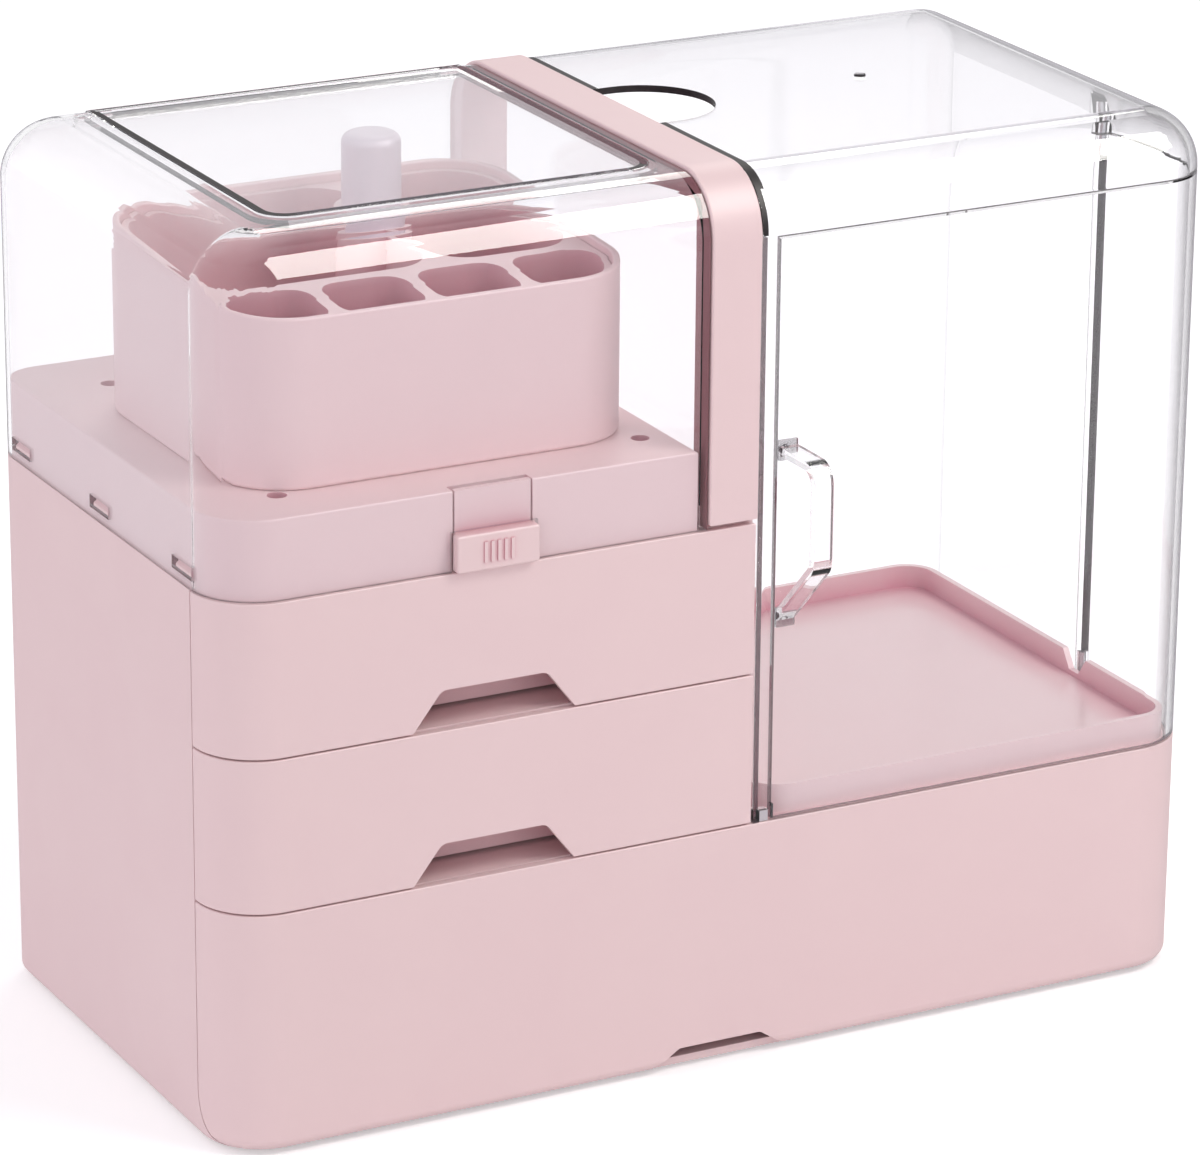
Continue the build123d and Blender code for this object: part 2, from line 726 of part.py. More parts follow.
def crosswise(x_low, x_high, y, z, radius, mode=Mode.ADD):
    """A round rod or hole along X."""
    with Locations(Location(((x_low + x_high) / 2, y, z), (0, 90, 0))):
        Cylinder(radius, x_high - x_low, mode=mode)


with BuildPart() as clear_cover:
    add(clear_skin(left_x, dome_right_x, dome_low_z, cover_z, 0, True, False))
    add(clear_skin(left_x, dome_right_x - clear_wall, dome_low_z - seam, lid_low_z, clear_wall,
                   True, False), mode=Mode.SUBTRACT)
    with BuildSketch(Plane.XY.offset(ledge_top_z - lid_ledge_height)):
        add(lid_outline(lid_ledge_width, ledge_back_y))
    extrude(amount=lid_low_z - ledge_top_z + lid_ledge_height)
    for x_low, x_high in ear_spans:
        crosswise(x_low, x_high, lid_hinge_y, lid_hinge_z, lid_ear_radius)
        block(x_low, x_high, lid_hinge_y - lid_ear_radius, lid_hinge_y + lid_ear_radius,
              lid_hinge_z, lid_low_z)
        crosswise(x_low, x_high, lid_hinge_y, lid_hinge_z, lid_pin_radius + lid_pin_clearance,
                  Mode.SUBTRACT)
    with BuildSketch(Plane.XY.offset(ledge_top_z)):
        add(lid_outline(lid_gap, lid_well_back_y))
    extrude(amount=cover_z - ledge_top_z, mode=Mode.SUBTRACT)
    with BuildSketch(Plane.XY.offset(ledge_top_z - lid_ledge_height)):
        add(lid_outline(-lid_ledge_width, ledge_back_y))
    extrude(amount=lid_ledge_height, mode=Mode.SUBTRACT)
    block(lid_left_x - lid_gap, lid_right_x + lid_gap, ledge_back_y, lid_well_back_y,
          lid_hinge_z - lid_barrel_radius - lid_barrel_clear, cover_z, Mode.SUBTRACT)
    # Windows for the deck's hooks, and the opening round the button
    for y in snap_places:
        block(left_x - seam, left_x + cover_inset, y - snap_window_length / 2,
              y + snap_window_length / 2, tower_z + snap_window_low,
              tower_z + snap_window_low + snap_window_height, Mode.SUBTRACT)
    block(latch_x - button_cut_half, latch_x + button_cut_half, front_y - seam, deck_front_y,
          dome_low_z, pad_low_z + latch_pad_height + latch_cut_gap, Mode.SUBTRACT)
clear_cover.part.label = "clear_cover"
export_step(clear_cover.part, "parts/clear_cover.step")

# Lid: a flat plate flush with the cover's top, with its hinge barrel behind
lid_meet_y = lid_hinge_y - math.sqrt(lid_barrel_radius**2 - (lid_barrel_radius - clear_wall) ** 2)
with BuildPart() as lid:
    with BuildSketch(Plane.YZ.offset(lid_left_x)):
        with BuildLine():
            Polyline(
                (lid_meet_y, lid_low_z), (lid_front_y, lid_low_z), (lid_front_y, cover_z),
                (lid_hinge_y, cover_z),
            )
            ThreePointArc(
                (lid_hinge_y, cover_z), (lid_hinge_y, lid_hinge_z - lid_barrel_radius),
                (lid_meet_y, lid_low_z),
            )
        make_face()
    extrude(amount=lid_right_x - lid_left_x)
    fillet(lid.edges().filter_by(Axis.Z).group_by(Axis.Y)[0], lid_corner_radius)
    for x_end in (lid_left_x + lid_pin_reach / 2, lid_right_x - lid_pin_reach / 2):
        crosswise(x_end - lid_pin_reach / 2 - slip_gap, x_end + lid_pin_reach / 2 + slip_gap,
                  lid_hinge_y, lid_hinge_z, lid_pin_radius + lid_pin_clearance, Mode.SUBTRACT)
lid.part.label = "lid"
export_step(lid.part, "parts/lid.step")

with BuildPart() as lid_hinge_pins:
    crosswise(ear_spans[0][0], lid_left_x + lid_pin_reach, lid_hinge_y, lid_hinge_z, lid_pin_radius)
    crosswise(lid_right_x - lid_pin_reach, ear_spans[1][1], lid_hinge_y, lid_hinge_z, lid_pin_radius)
lid_hinge_pins.part.label = "lid_hinge_pins"
export_step(lid_hinge_pins.part, "parts/lid_hinge_pins.step")

# Carrying band between the two clear covers, on feet that stand on the casing's top
band_low_z = tower_z + band_foot_height
band_front_y = front_y - band_proud
band_back_y = back_y + band_proud
with BuildPart() as handle_band:
    with BuildSketch(Plane.YZ.offset(band_left_x)):
        add(arch(band_front_y, band_back_y, band_low_z, cover_z + band_proud, band_radius))
        add(
            arch(band_front_y + band_leg, band_back_y - band_leg, band_low_z - far,
                 cover_z + band_proud - band_top, band_inner_radius),
            mode=Mode.SUBTRACT,
        )
    extrude(amount=band_width)
    fillet(handle_band.faces().filter_by(Axis.X).edges(), band_edge)
    for y_low, y_high in (
        (front_y + front_room_inset + slip_gap, band_front_y + band_leg - band_edge),
        (band_back_y - band_leg + band_edge, back_y - front_room_inset - slip_gap),
    ):
        block(band_left_x + band_edge, band_right_x - band_edge, y_low, y_high,
              tower_z, band_low_z + band_edge)
    for x, y in band_screw_places:
        upright(x, y, tower_z, tower_plate_z + band_screw_length + slip_gap,
                band_screw_radius + screw_clearance, Mode.SUBTRACT)
handle_band.part.label = "handle_band"
export_step(handle_band.part, "parts/handle_band.step")

# Clear shell of the right bay: back, top cap, side wall behind the hinge and the front jamb
with BuildPart() as bay_shell:
    add(clear_skin(bay_left_x, right_x, low_z, cover_z, 0, False, True))
    add(clear_skin(bay_left_x - clear_wall, right_x, low_z - seam, lid_low_z, clear_wall,
                   False, True), mode=Mode.SUBTRACT)
    block(jamb_right_x, far, -far, hinge_y + hinge_inset_x + hinge_swing_gap, low_z, cap_low_z,
          Mode.SUBTRACT)
    block(bay_left_x, bay_left_x + clear_wall, front_y, front_y + jamb_depth, low_z, cap_low_z)
    block(bay_left_x + clear_wall, jamb_right_x, front_y, front_y + clear_wall, low_z,
          low_z + catch_height, Mode.SUBTRACT)
    # Lug for the door's upper pin, inside the rounded edge
    upright(hinge_x, hinge_y, cap_low_z, cap_low_z + hinge_lug_height, hinge_boss_radius)
    add(clear_skin(bay_left_x, right_x, low_z, cover_z, 0, False, True), mode=Mode.INTERSECT)
    upright(hinge_x, hinge_y, cap_low_z, cap_low_z + door_pin_seat,
            door_pin_radius + door_pin_clearance, Mode.SUBTRACT)
    # Finger notch beside the band
    notch_y = front_y + bay_notch_from_front
    upright(bay_left_x + bay_notch_reach, notch_y, cap_low_z, cover_z, bay_notch_radius,
            Mode.SUBTRACT)
    block(bay_left_x, bay_left_x + bay_notch_reach, notch_y - bay_notch_radius,
          notch_y + bay_notch_radius, cap_low_z, cover_z, Mode.SUBTRACT)
    upright(gate_nib_x, notch_y, lid_low_z, cover_z + gate_nib_height, gate_nib_radius)
    for x, y, turn in bay_tab_places:
        with Locations(Location((x, y, low_z - bay_tab_depth / 2 + seam), (0, 0, turn))):
            Box(bay_tab_length, bay_tab_thickness, bay_tab_depth + 2 * seam)
bay_shell.part.label = "bay_shell"
export_step(bay_shell.part, "parts/bay_shell.step")

# Door: flat in front and round the right corner, as far as its hinge bead on the side
pull_middle_x = door_left_x + pull_width / 2
pull_line_z = base_z + pull_top_height - pull_thickness / 2
pull_foot_z = pull_line_z - pull_grip_height - pull_drop
with BuildPart() as door:
    with BuildSketch(Plane.XY.offset(door_low_z)):
        add(plan(door_left_x, right_x, round_left=False))
        add(plan(door_left_x - clear_wall, right_x, inset=clear_wall, round_left=False),
            mode=Mode.SUBTRACT)
        with Locations((0, hinge_y + far)):
            Rectangle(2 * far, 2 * far, mode=Mode.SUBTRACT)
        with Locations((hinge_x, hinge_y)):
            Circle(bead_radius)
    extrude(amount=door_top_z - door_low_z)
    for z_low in (door_low_z, door_top_z - door_pin_reach):
        upright(hinge_x, hinge_y, z_low, z_low + door_pin_reach,
                door_pin_radius + door_pin_clearance, Mode.SUBTRACT)
    block(door_left_x, door_left_x + striker_width, front_y + catch_inset, front_y + clear_wall,
          door_low_z, door_low_z + striker_height, Mode.SUBTRACT)
    for z in (pull_line_z, pull_foot_z):
        with Locations(Location((pull_middle_x, front_y + clear_wall / 2, z), (90, 0, 0))):
            Cylinder(pull_peg_radius + pull_peg_clearance, clear_wall, mode=Mode.SUBTRACT)
door.part.label = "door"
export_step(door.part, "parts/door.step")

with BuildPart() as striker_plate:
    block(door_left_x, door_left_x + striker_width, front_y + catch_inset, front_y + clear_wall,
          door_low_z, door_low_z + striker_height)
striker_plate.part.label = "striker_plate"
export_step(striker_plate.part, "parts/striker_plate.step")

with BuildPart() as catch_magnet:
    block(bay_left_x + clear_wall, jamb_right_x - catch_gap, front_y + catch_inset,
          front_y + catch_inset + catch_depth, low_z, low_z + catch_height)
catch_magnet.part.label = "catch_magnet"
export_step(catch_magnet.part, "parts/catch_magnet.step")

with BuildPart() as door_hinge_pins:
    upright(hinge_x, hinge_y, low_z - door_pin_seat, door_low_z + door_pin_reach - slip_gap,
            door_pin_radius)
    upright(hinge_x, hinge_y, door_top_z - door_pin_reach + slip_gap, cap_low_z + door_pin_seat,
            door_pin_radius)
door_hinge_pins.part.label = "door_hinge_pins"
export_step(door_hinge_pins.part, "parts/door_hinge_pins.step")

# Pull handle: a bent clear strip between two pads, pegged through the door
pull_grip_y = front_y - pull_reach + pull_thickness / 2
with BuildPart() as door_handle:
    with BuildSketch(Plane.YZ.offset(door_left_x)):
        with BuildLine():
            slope = (pull_line_z - pull_grip_height - pull_foot_z) / (front_y - pull_grip_y)
            FilletPolyline(
                (front_y + pull_thickness, pull_line_z),
                (pull_grip_y, pull_line_z),
                (pull_grip_y, pull_line_z - pull_grip_height),
                (front_y + pull_thickness, pull_foot_z - slope * pull_thickness),
                radius=pull_radius,
            )
        trace(line_width=pull_thickness)
    extrude(amount=pull_width)
    for z in (pull_line_z, pull_foot_z):
        block(door_left_x, door_left_x + pull_width, front_y - pull_pad_thickness, front_y,
              z - pull_pad_height / 2, z + pull_pad_height / 2)
    block(-far, far, front_y, far, low_z, cover_z, Mode.SUBTRACT)
    for z in (pull_line_z, pull_foot_z):
        with Locations(Location((pull_middle_x, front_y + clear_wall / 2, z), (90, 0, 0))):
            Cylinder(pull_peg_radius, clear_wall)
door_handle.part.label = "door_handle"
export_step(door_handle.part, "parts/door_handle.step")

# Tray for bottles in the right bay, with a dip in its lip beside the hinge
tray_left_x = bay_left_x + tray_left_gap
tray_right_x = right_x - tray_right_gap
tray_front_y = front_y + tray_front_gap
tray_back_y = back_y - tray_back_gap
tray_rim_z = low_z + tray_height
dip_y = hinge_y - tray_dip_ahead
with BuildSketch(Plane.XY.offset(low_z)) as tray_outline:
    with Locations(((tray_left_x + tray_right_x) / 2, (tray_front_y + tray_back_y) / 2)):
        RectangleRounded(tray_right_x - tray_left_x, tray_back_y - tray_front_y, tray_radius)
with BuildPart() as bottle_tray:
    extrude(tray_outline.sketch, amount=tray_height)
    with BuildSketch(Plane.XY.offset(low_z + tray_floor)):
        with Locations(((tray_left_x + tray_right_x) / 2, (tray_front_y + tray_back_y) / 2)):
            RectangleRounded(
                tray_right_x - tray_left_x - 2 * tray_wall,
                tray_back_y - tray_front_y - 2 * tray_wall, tray_radius - tray_wall,
            )
    extrude(amount=tray_height, mode=Mode.SUBTRACT)
    with BuildSketch(Plane.YZ.offset(tray_right_x - tray_wall - slip_gap)):
        with BuildLine():
            Polyline(
                (dip_y - tray_dip_width / 2, tray_rim_z),
                (dip_y - tray_dip_low_width / 2, tray_rim_z - tray_dip_depth),
                (dip_y + tray_dip_low_width / 2, tray_rim_z - tray_dip_depth),
                (dip_y + tray_dip_width / 2, tray_rim_z),
                close=True,
            )
        make_face()
    extrude(amount=tray_wall + 2 * slip_gap, mode=Mode.SUBTRACT)
bottle_tray.part.label = "bottle_tray"
export_step(bottle_tray.part, "parts/bottle_tray.step")

# Brush cup with a rim that slopes up to the back
cup_left_x = left_x + cup_left
cup_right_x = left_x + cup_right
cup_front_y = front_y + cup_front
cup_back_y = front_y + cup_back
cup_middle = ((cup_left_x + cup_right_x) / 2, (cup_front_y + cup_back_y) / 2)
cup_width = cup_right_x - cup_left_x
cup_depth = cup_back_y - cup_front_y
cup_back_height = cover_z - deck_z - cup_headroom


def above_rim(drop):
    """Everything above the cup's sloped rim, lowered by drop."""
    back_rim_z = deck_z + cup_back_height - drop
    front_rim_z = back_rim_z - cup_rim_slope
    with BuildPart() as wedge:
        with BuildSketch(Plane.YZ.offset(cup_left_x)):
            with BuildLine():
                Polyline(
                    (cup_front_y, front_rim_z), (cup_back_y, back_rim_z),
                    (cup_back_y, cover_z), (cup_front_y, cover_z), close=True,
                )
            make_face()
        extrude(amount=cup_width)
    return wedge.part


def cup_plan(inset):
    """Outline of the cup, drawn in by inset."""
    with BuildSketch() as shape:
        with Locations(cup_middle):
            RectangleRounded(cup_width - 2 * inset, cup_depth - 2 * inset, cup_radius - inset)
    return shape.sketch


with BuildPart() as brush_cup:
    with BuildSketch(Plane.XY.offset(deck_z)):
        add(cup_plan(0))
    extrude(amount=cup_back_height)
    fillet(brush_cup.faces().sort_by(Axis.Z)[0].edges(), cup_foot_radius)
    with BuildSketch(Plane.XY.offset(deck_z + cup_wall)):
        add(cup_plan(cup_wall))
    extrude(amount=cup_back_height, mode=Mode.SUBTRACT)
    add(above_rim(0), mode=Mode.SUBTRACT)
    fillet(brush_cup.faces().sort_by(Axis.Z)[-1].edges(), cup_rim)
brush_cup.part.label = "brush_cup"
export_step(brush_cup.part, "parts/brush_cup.step")

# Divider insert of the cup: a front row of wells, two large wells and the post's socket
insert_inset = cup_wall + insert_gap
well_inset = insert_inset + insert_wall
insert_low_z = deck_z + cup_wall
post_x = left_x + post_from_left
post_y = front_y + post_from_front
row_pitch = (cup_width - 2 * well_inset + brush_web) / brush_count
row_back_y = cup_front_y + well_inset + brush_depth
large_front_y = row_back_y + brush_web
large_back_y = cup_back_y - well_inset
with BuildPart() as cup_insert:
    with BuildSketch(Plane.XY.offset(insert_low_z)):
        add(cup_plan(insert_inset))
    extrude(amount=cup_back_height - cup_wall)
    with BuildSketch(Plane.XY.offset(insert_low_z + insert_floor)):
        for step in range(brush_count):
            well_x = cup_left_x + well_inset + (step + 0.5) * row_pitch - brush_web / 2
            with Locations((well_x, row_back_y - brush_depth / 2)):
                RectangleRounded(row_pitch - brush_web, brush_depth, brush_radius)
        for x_low, x_high in (
            (cup_left_x + well_inset, post_x - insert_wall / 2),
            (post_x + insert_wall / 2, cup_right_x - well_inset),
        ):
            with Locations(((x_low + x_high) / 2, (large_front_y + large_back_y) / 2)):
                RectangleRounded(x_high - x_low, large_back_y - large_front_y, well_radius)
        add(cup_plan(well_inset), mode=Mode.INTERSECT)
        with Locations((post_x, post_y)):
            Circle(post_radius + post_gap + insert_wall, mode=Mode.SUBTRACT)
            Circle(post_radius + post_gap)
    extrude(amount=cup_back_height, mode=Mode.SUBTRACT)
    add(above_rim(insert_drop), mode=Mode.SUBTRACT)
cup_insert.part.label = "cup_insert"
export_step(cup_insert.part, "parts/cup_insert.step")

with BuildPart() as lift_post:
    upright(post_x, post_y, insert_low_z + insert_floor, lid_low_z - post_clear, post_radius)
    fillet(lift_post.faces().sort_by(Axis.Z)[-1].edges(), post_dome)
lift_post.part.label = "lift_post"
export_step(lift_post.part, "parts/lift_post.step")
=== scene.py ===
import math

import bmesh
import bpy
from bpy.props import FloatProperty, FloatVectorProperty, IntProperty, PointerProperty
from mathutils import Matrix, Vector


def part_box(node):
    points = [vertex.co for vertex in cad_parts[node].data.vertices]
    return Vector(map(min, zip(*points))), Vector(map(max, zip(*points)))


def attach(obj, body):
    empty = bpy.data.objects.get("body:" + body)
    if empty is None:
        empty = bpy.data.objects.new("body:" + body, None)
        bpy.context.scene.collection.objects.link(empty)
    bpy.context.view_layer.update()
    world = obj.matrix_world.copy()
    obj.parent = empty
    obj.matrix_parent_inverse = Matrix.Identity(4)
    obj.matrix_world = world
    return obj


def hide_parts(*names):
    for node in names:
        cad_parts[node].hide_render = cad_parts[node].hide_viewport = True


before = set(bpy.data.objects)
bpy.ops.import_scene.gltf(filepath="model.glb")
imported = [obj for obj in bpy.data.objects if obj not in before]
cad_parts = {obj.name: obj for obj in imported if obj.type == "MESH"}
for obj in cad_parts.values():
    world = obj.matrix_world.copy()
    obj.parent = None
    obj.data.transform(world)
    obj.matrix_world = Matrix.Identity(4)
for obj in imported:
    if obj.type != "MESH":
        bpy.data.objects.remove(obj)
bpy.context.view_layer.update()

bl_info = {
    "name": "Makeup organizer",
    "version": (1, 0, 0),
    "blender": (4, 5, 0),
    "location": "3D View > Sidebar > Organizer",
    "description": "Finishes the organizer's mouldings, clear covers and metalwork in its studio",
    "category": "Object",
}

MM = 0.001
CLEAR_MATERIALS = (
    "clear_styrene", "clear_corner", "clear_bend", "clear_round", "clear_line",
    "faint_edge", "mauve_edge", "dark_edge", "band_edge",
)

# Refractive index of the plastic, and the higher one that keeps the first strips of a rounding
# from mirroring the wall's inner face.
STYRENE_INDEX = 1.49
ROUNDING_INDEX = 1.56

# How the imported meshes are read: points this close are one point, edges under FLAT_ANGLE lie
# within a flat face, edges over SHARP_ANGLE part two faces, and heights this near are level.
MERGE_DISTANCE = 0.002 * MM
FLAT_ANGLE = math.radians(0.1)
SHARP_ANGLE = math.radians(25.0)
LEVEL_WITHIN = 0.01 * MM

# Edges of the pieces that Geometry Nodes make stay sharp over this angle.
GROWN_SHARP_ANGLE = math.radians(35.0)

# Limits on a face's unit normal that tell apart the faces of the clear pieces.
ALONG_AN_AXIS = 0.999
LOOKS_UP = 0.99
LOOKS_RIGHT = 0.9
LEANS = 0.3
UPRIGHT = 0.5
SIDE_CORNER = 0.03
ROUNDING_START = 0.96
TOP_LINE = (0.992, 0.9995)

# Widest strip of a rounding, the share of the shell's margin of painted shade that is left lower
# down its top rounding, and the depth of the lid's front strip in widths of the lid's margin.
BEND_WIDTH = 4.5 * MM
NARROW_MARGIN = 0.6
FRONT_STRIP = 1.5

# What the softboxes face, how far off they stand, and the camera's sensor in millimetres.
SOFTBOX_CENTRE = Vector((0.0, 0.0, 0.2))
SOFTBOX_REACH = 1.5
SENSOR_WIDTH = 36.0


def colour_property(name, default, description):
    """A colour that the user can change."""
    return FloatVectorProperty(
        name=name, description=description, subtype="COLOR", default=default, min=0.0, max=1.0,
    )


def length_property(name, default, description):
    """A length that the user can change."""
    return FloatProperty(
        name=name, description=description, unit="LENGTH", default=default, min=0.0,
    )


class OrganizerFinish(bpy.types.PropertyGroup):
    """Colours and surface qualities of the pieces, and the painted shade in their hollows and on
    the clear plastic's slants, corners and edges.
    """

    pink: colour_property("Pink", (0.815, 0.622, 0.622), "Colour of the satin mouldings")
    # Deep pink is also the painted shade in the lift post's hollows.
    pink_deep: colour_property(
        "Deep pink", (0.79, 0.59, 0.60), "Colour that the pink drifts to between flow marks",
    )
    # Painted shade: the pink deepens to this colour in recesses, in seams and between close walls,
    # where shade falls, within the reach below.
    hollow_shade: colour_property(
        "Hollow shade pink", (0.66, 0.29, 0.35), "Colour that the pink deepens to inside recesses",
    )
    hollow_shade_reach: length_property(
        "Hollow shade reach", 60 * MM, "How far a wall may be from its opposite to deepen the pink",
    )
    # Painted shade: the glossy tray's pink deepens to this colour along its rim, where the rim
    # shades the floor, within the reach below.
    rim_shade: colour_property(
        "Rim shade pink", (0.62, 0.19, 0.28), "Colour that the glossy tray deepens to along its rim",
    )
    rim_shade_reach: length_property(
        "Rim shade reach", 18 * MM, "How far from the tray's rim its colour deepens",
    )
    grain_size: length_property("Grain size", 0.32 * MM, "Size of the moulded grain")
    grain_height: length_property("Grain height", 0.005 * MM, "Height of the moulded grain")
    pale: colour_property("Pale pink", (0.76, 0.67, 0.73), "Colour of the lift post")
    clear_tint: colour_property("Clear tint", (0.985, 0.98, 0.99), "Tint of the clear plastic")
    # Painted shade: grey mixed into the clear plastic where it is seen at a slant, standing in for
    # the absorption along the longer path and the dark lines that reflection and refraction give
    # there.
    slant_shade: colour_property(
        "Slant shade", (0.34, 0.31, 0.35),
        "Tint of the clear plastic where it is seen along its surface",
    )
    # Painted shade: near black mixed into the clear plastic's rounded corners where they turn away,
    # standing in for the dark outlines that refraction gives there.
    bend_shade: colour_property(
        "Bend shade", (0.03, 0.022, 0.032),
        "Tint of the clear plastic's rounded corners where they turn away",
    )
    # Painted shade: grey mixed into the first strip where the bay's top starts to round over,
    # drawing the line that refraction gives there.
    line_shade: colour_property(
        "Line shade", (0.56, 0.53, 0.57),
        "Tint of the line where the bay's top starts to round over",
    )
    # Painted shade: dark colours in the clear plastic's cut edges and in the margins beside them,
    # where the light inside the wall is lost.
    edge: colour_property(
        "Edge", (0.09, 0.068, 0.085), "Colour in the cut edges of the clear plastic",
    )
    edge_dark: colour_property(
        "Dark edge", (0.018, 0.013, 0.015), "Colour of the cut edges that hold no light at all",
    )
    # Painted shade: the band's shaded side as the cover's free edge shows it, painted into that
    # edge.
    band_side: colour_property(
        "Band side", (0.30, 0.13, 0.145),
        "Shaded pink that the cover's free edge shows beside the band",
    )
    rubber: colour_property("Rubber", (0.62, 0.58, 0.60), "Colour of the foot pads")
    steel: colour_property("Steel", (0.55, 0.55, 0.57), "Colour of screws, pins and spring")
    plating: colour_property("Plating", (0.80, 0.74, 0.76), "Colour of the catch magnet's plating")


class OrganizerSizes(bpy.types.PropertyGroup):
    """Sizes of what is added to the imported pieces, and of the zones on the clear ones."""

    screw_pitch: length_property("Screw pitch", 0.9 * MM, "Rise of a screw's thread in one turn")
    deck_screw_head: length_property("Deck screw head", 2.2 * MM, "Height of a deck screw's head")
    deck_screw_shank: length_property(
        "Deck screw shank", 1.5 * MM, "Radius of a deck screw's thread",
    )
    band_screw_head: length_property("Band screw head", 1.8 * MM, "Height of a band screw's head")
    band_screw_shank: length_property(
        "Band screw shank", 1.25 * MM, "Radius of a band screw's thread",
    )
    pad_rings: IntProperty(
        name="Pad rings", description="Number of raised rings under each foot pad",
        default=4, min=1, max=8,
    )
    spring_turns: FloatProperty(
        name="Spring turns", description="Turns of the latch's spring", default=6.0,
    )
    spring_wire: length_property("Spring wire", 0.35 * MM, "Radius of the spring's wire")
    wall: length_property("Clear wall", 2.6 * MM, "Thickest wall whose cut edge counts as an edge")
    # Painted shade: widths and reaches of the dark margins and dark cut edges on the clear pieces.
    dark_margin: length_property(
        "Dark margin", 3.2 * MM, "Width of the dark margin along the bay shell's free edge",
    )
    lid_margin: length_property(
        "Lid margin", 2.8 * MM, "Width of the dark margin round the lid's top",
    )
    # Painted shade: the band's shaded colour is painted this far into the cover's side wall.
    light_guide: length_property(
        "Light guide", 8 * MM, "How far into the cover's side wall the band's colour shows",
    )
    corner_reach: length_property(
        "Corner reach", 12 * MM, "How far from a corner the lid's edge stays dark",
    )
    hinge_side: length_property(
        "Hinge side", 15 * MM, "How far from the right side the shell's cut edges stay dark",
    )
    top_round: length_property(
        "Top rounding", 20 * MM, "Height of the bay shell's rounded top edge",
    )
    edge_round: length_property(
        "Edge rounding", 0.25 * MM, "Radius on the sharp edges of the clear pieces",
    )


class OrganizerStudio(bpy.types.PropertyGroup):
    """Camera and lamps."""

    azimuth: FloatProperty(
        name="Azimuth", description="Turn of the camera from the front towards the left",
        subtype="ANGLE", default=math.radians(27.902),
    )
    elevation: FloatProperty(
        name="Elevation", description="Height of the camera as an angle",
        subtype="ANGLE", default=math.radians(19.631),
    )
    roll: FloatProperty(
        name="Roll", description="Turn of the camera about its own axis",
        subtype="ANGLE", default=math.radians(0.469),
    )
    distance: length_property("Distance", 1.996, "From the camera to the point it looks at")
    lens: FloatProperty(
        name="Lens", description="Focal length on a sensor 36 mm wide", default=174.52,
    )
    aim: FloatVectorProperty(
        name="Aim", description="Point that the camera looks at",
        subtype="TRANSLATION", default=(-0.00099, 0.0119, 0.14419),
    )
    daylight: FloatProperty(
        name="Daylight", description="Level of the light from all round", default=1.22,
    )
    daylight_colour: colour_property(
        "Daylight colour", (0.965, 0.955, 1.0), "Cool tint of the daylight",
    )
    key_colour: colour_property("Key colour", (1.0, 0.985, 0.94), "Warm tint of the softboxes")
    key_radiance: FloatProperty(
        name="Key", description="Brightness of the softbox at the front right", default=7.0,
    )
    gleam_radiance: FloatProperty(
        name="Gleam", description="Brightness of the softbox that only shows in reflections",
        default=16.0,
    )
    back_radiance: FloatProperty(
        name="Back", description="Brightness of the softbox at the back right", default=5.0,
    )


def new_tree(name):
    """A new material's empty tree, and the tree's output node."""
    material = bpy.data.materials.new(name)
    material.use_nodes = True
    tree = material.node_tree
    tree.nodes.clear()
    return tree, tree.nodes.new("ShaderNodeOutputMaterial")


def add_node(tree, kind, inputs=None, **settings):
    """A node with its settings, and its inputs either set to a value or linked to a socket."""
    node = tree.nodes.new(kind)
    for key, value in settings.items():
        setattr(node, key, value)
    for key, value in (inputs or {}).items():
        if isinstance(value, bpy.types.NodeSocket):
            tree.links.new(value, node.inputs[key])
        else:
            node.inputs[key].default_value = value
    return node


def computed(tree, operation, first, second, clamped=False):
    """The result of one sum on two numbers or sockets, in any tree."""
    return add_node(
        tree, "ShaderNodeMath", {0: first, 1: second}, operation=operation, use_clamp=clamped,
    ).outputs[0]


def mixed_colour(tree, factor, first, second):
    """The colour between two colours or sockets."""
    return add_node(
        tree, "ShaderNodeMix", {0: factor, 6: first, 7: second}, data_type="RGBA",
    ).outputs[2]


def solid_colour(values):
    """A colour property as the four numbers that a socket takes."""
    return (*values, 1.0)


def shader_group(name, inputs, outputs):
    """An empty shader group with named sockets; each of inputs is (name, kind, default)."""
    group = bpy.data.node_groups.new(name, "ShaderNodeTree")
    for label, kind, default in inputs:
        socket = group.interface.new_socket(label, in_out="INPUT", socket_type=kind)
        if default is not None:
            socket.default_value = default
    for label, kind in outputs:
        group.interface.new_socket(label, in_out="OUTPUT", socket_type=kind)
    return group, group.nodes.new("NodeGroupInput"), group.nodes.new("NodeGroupOutput")


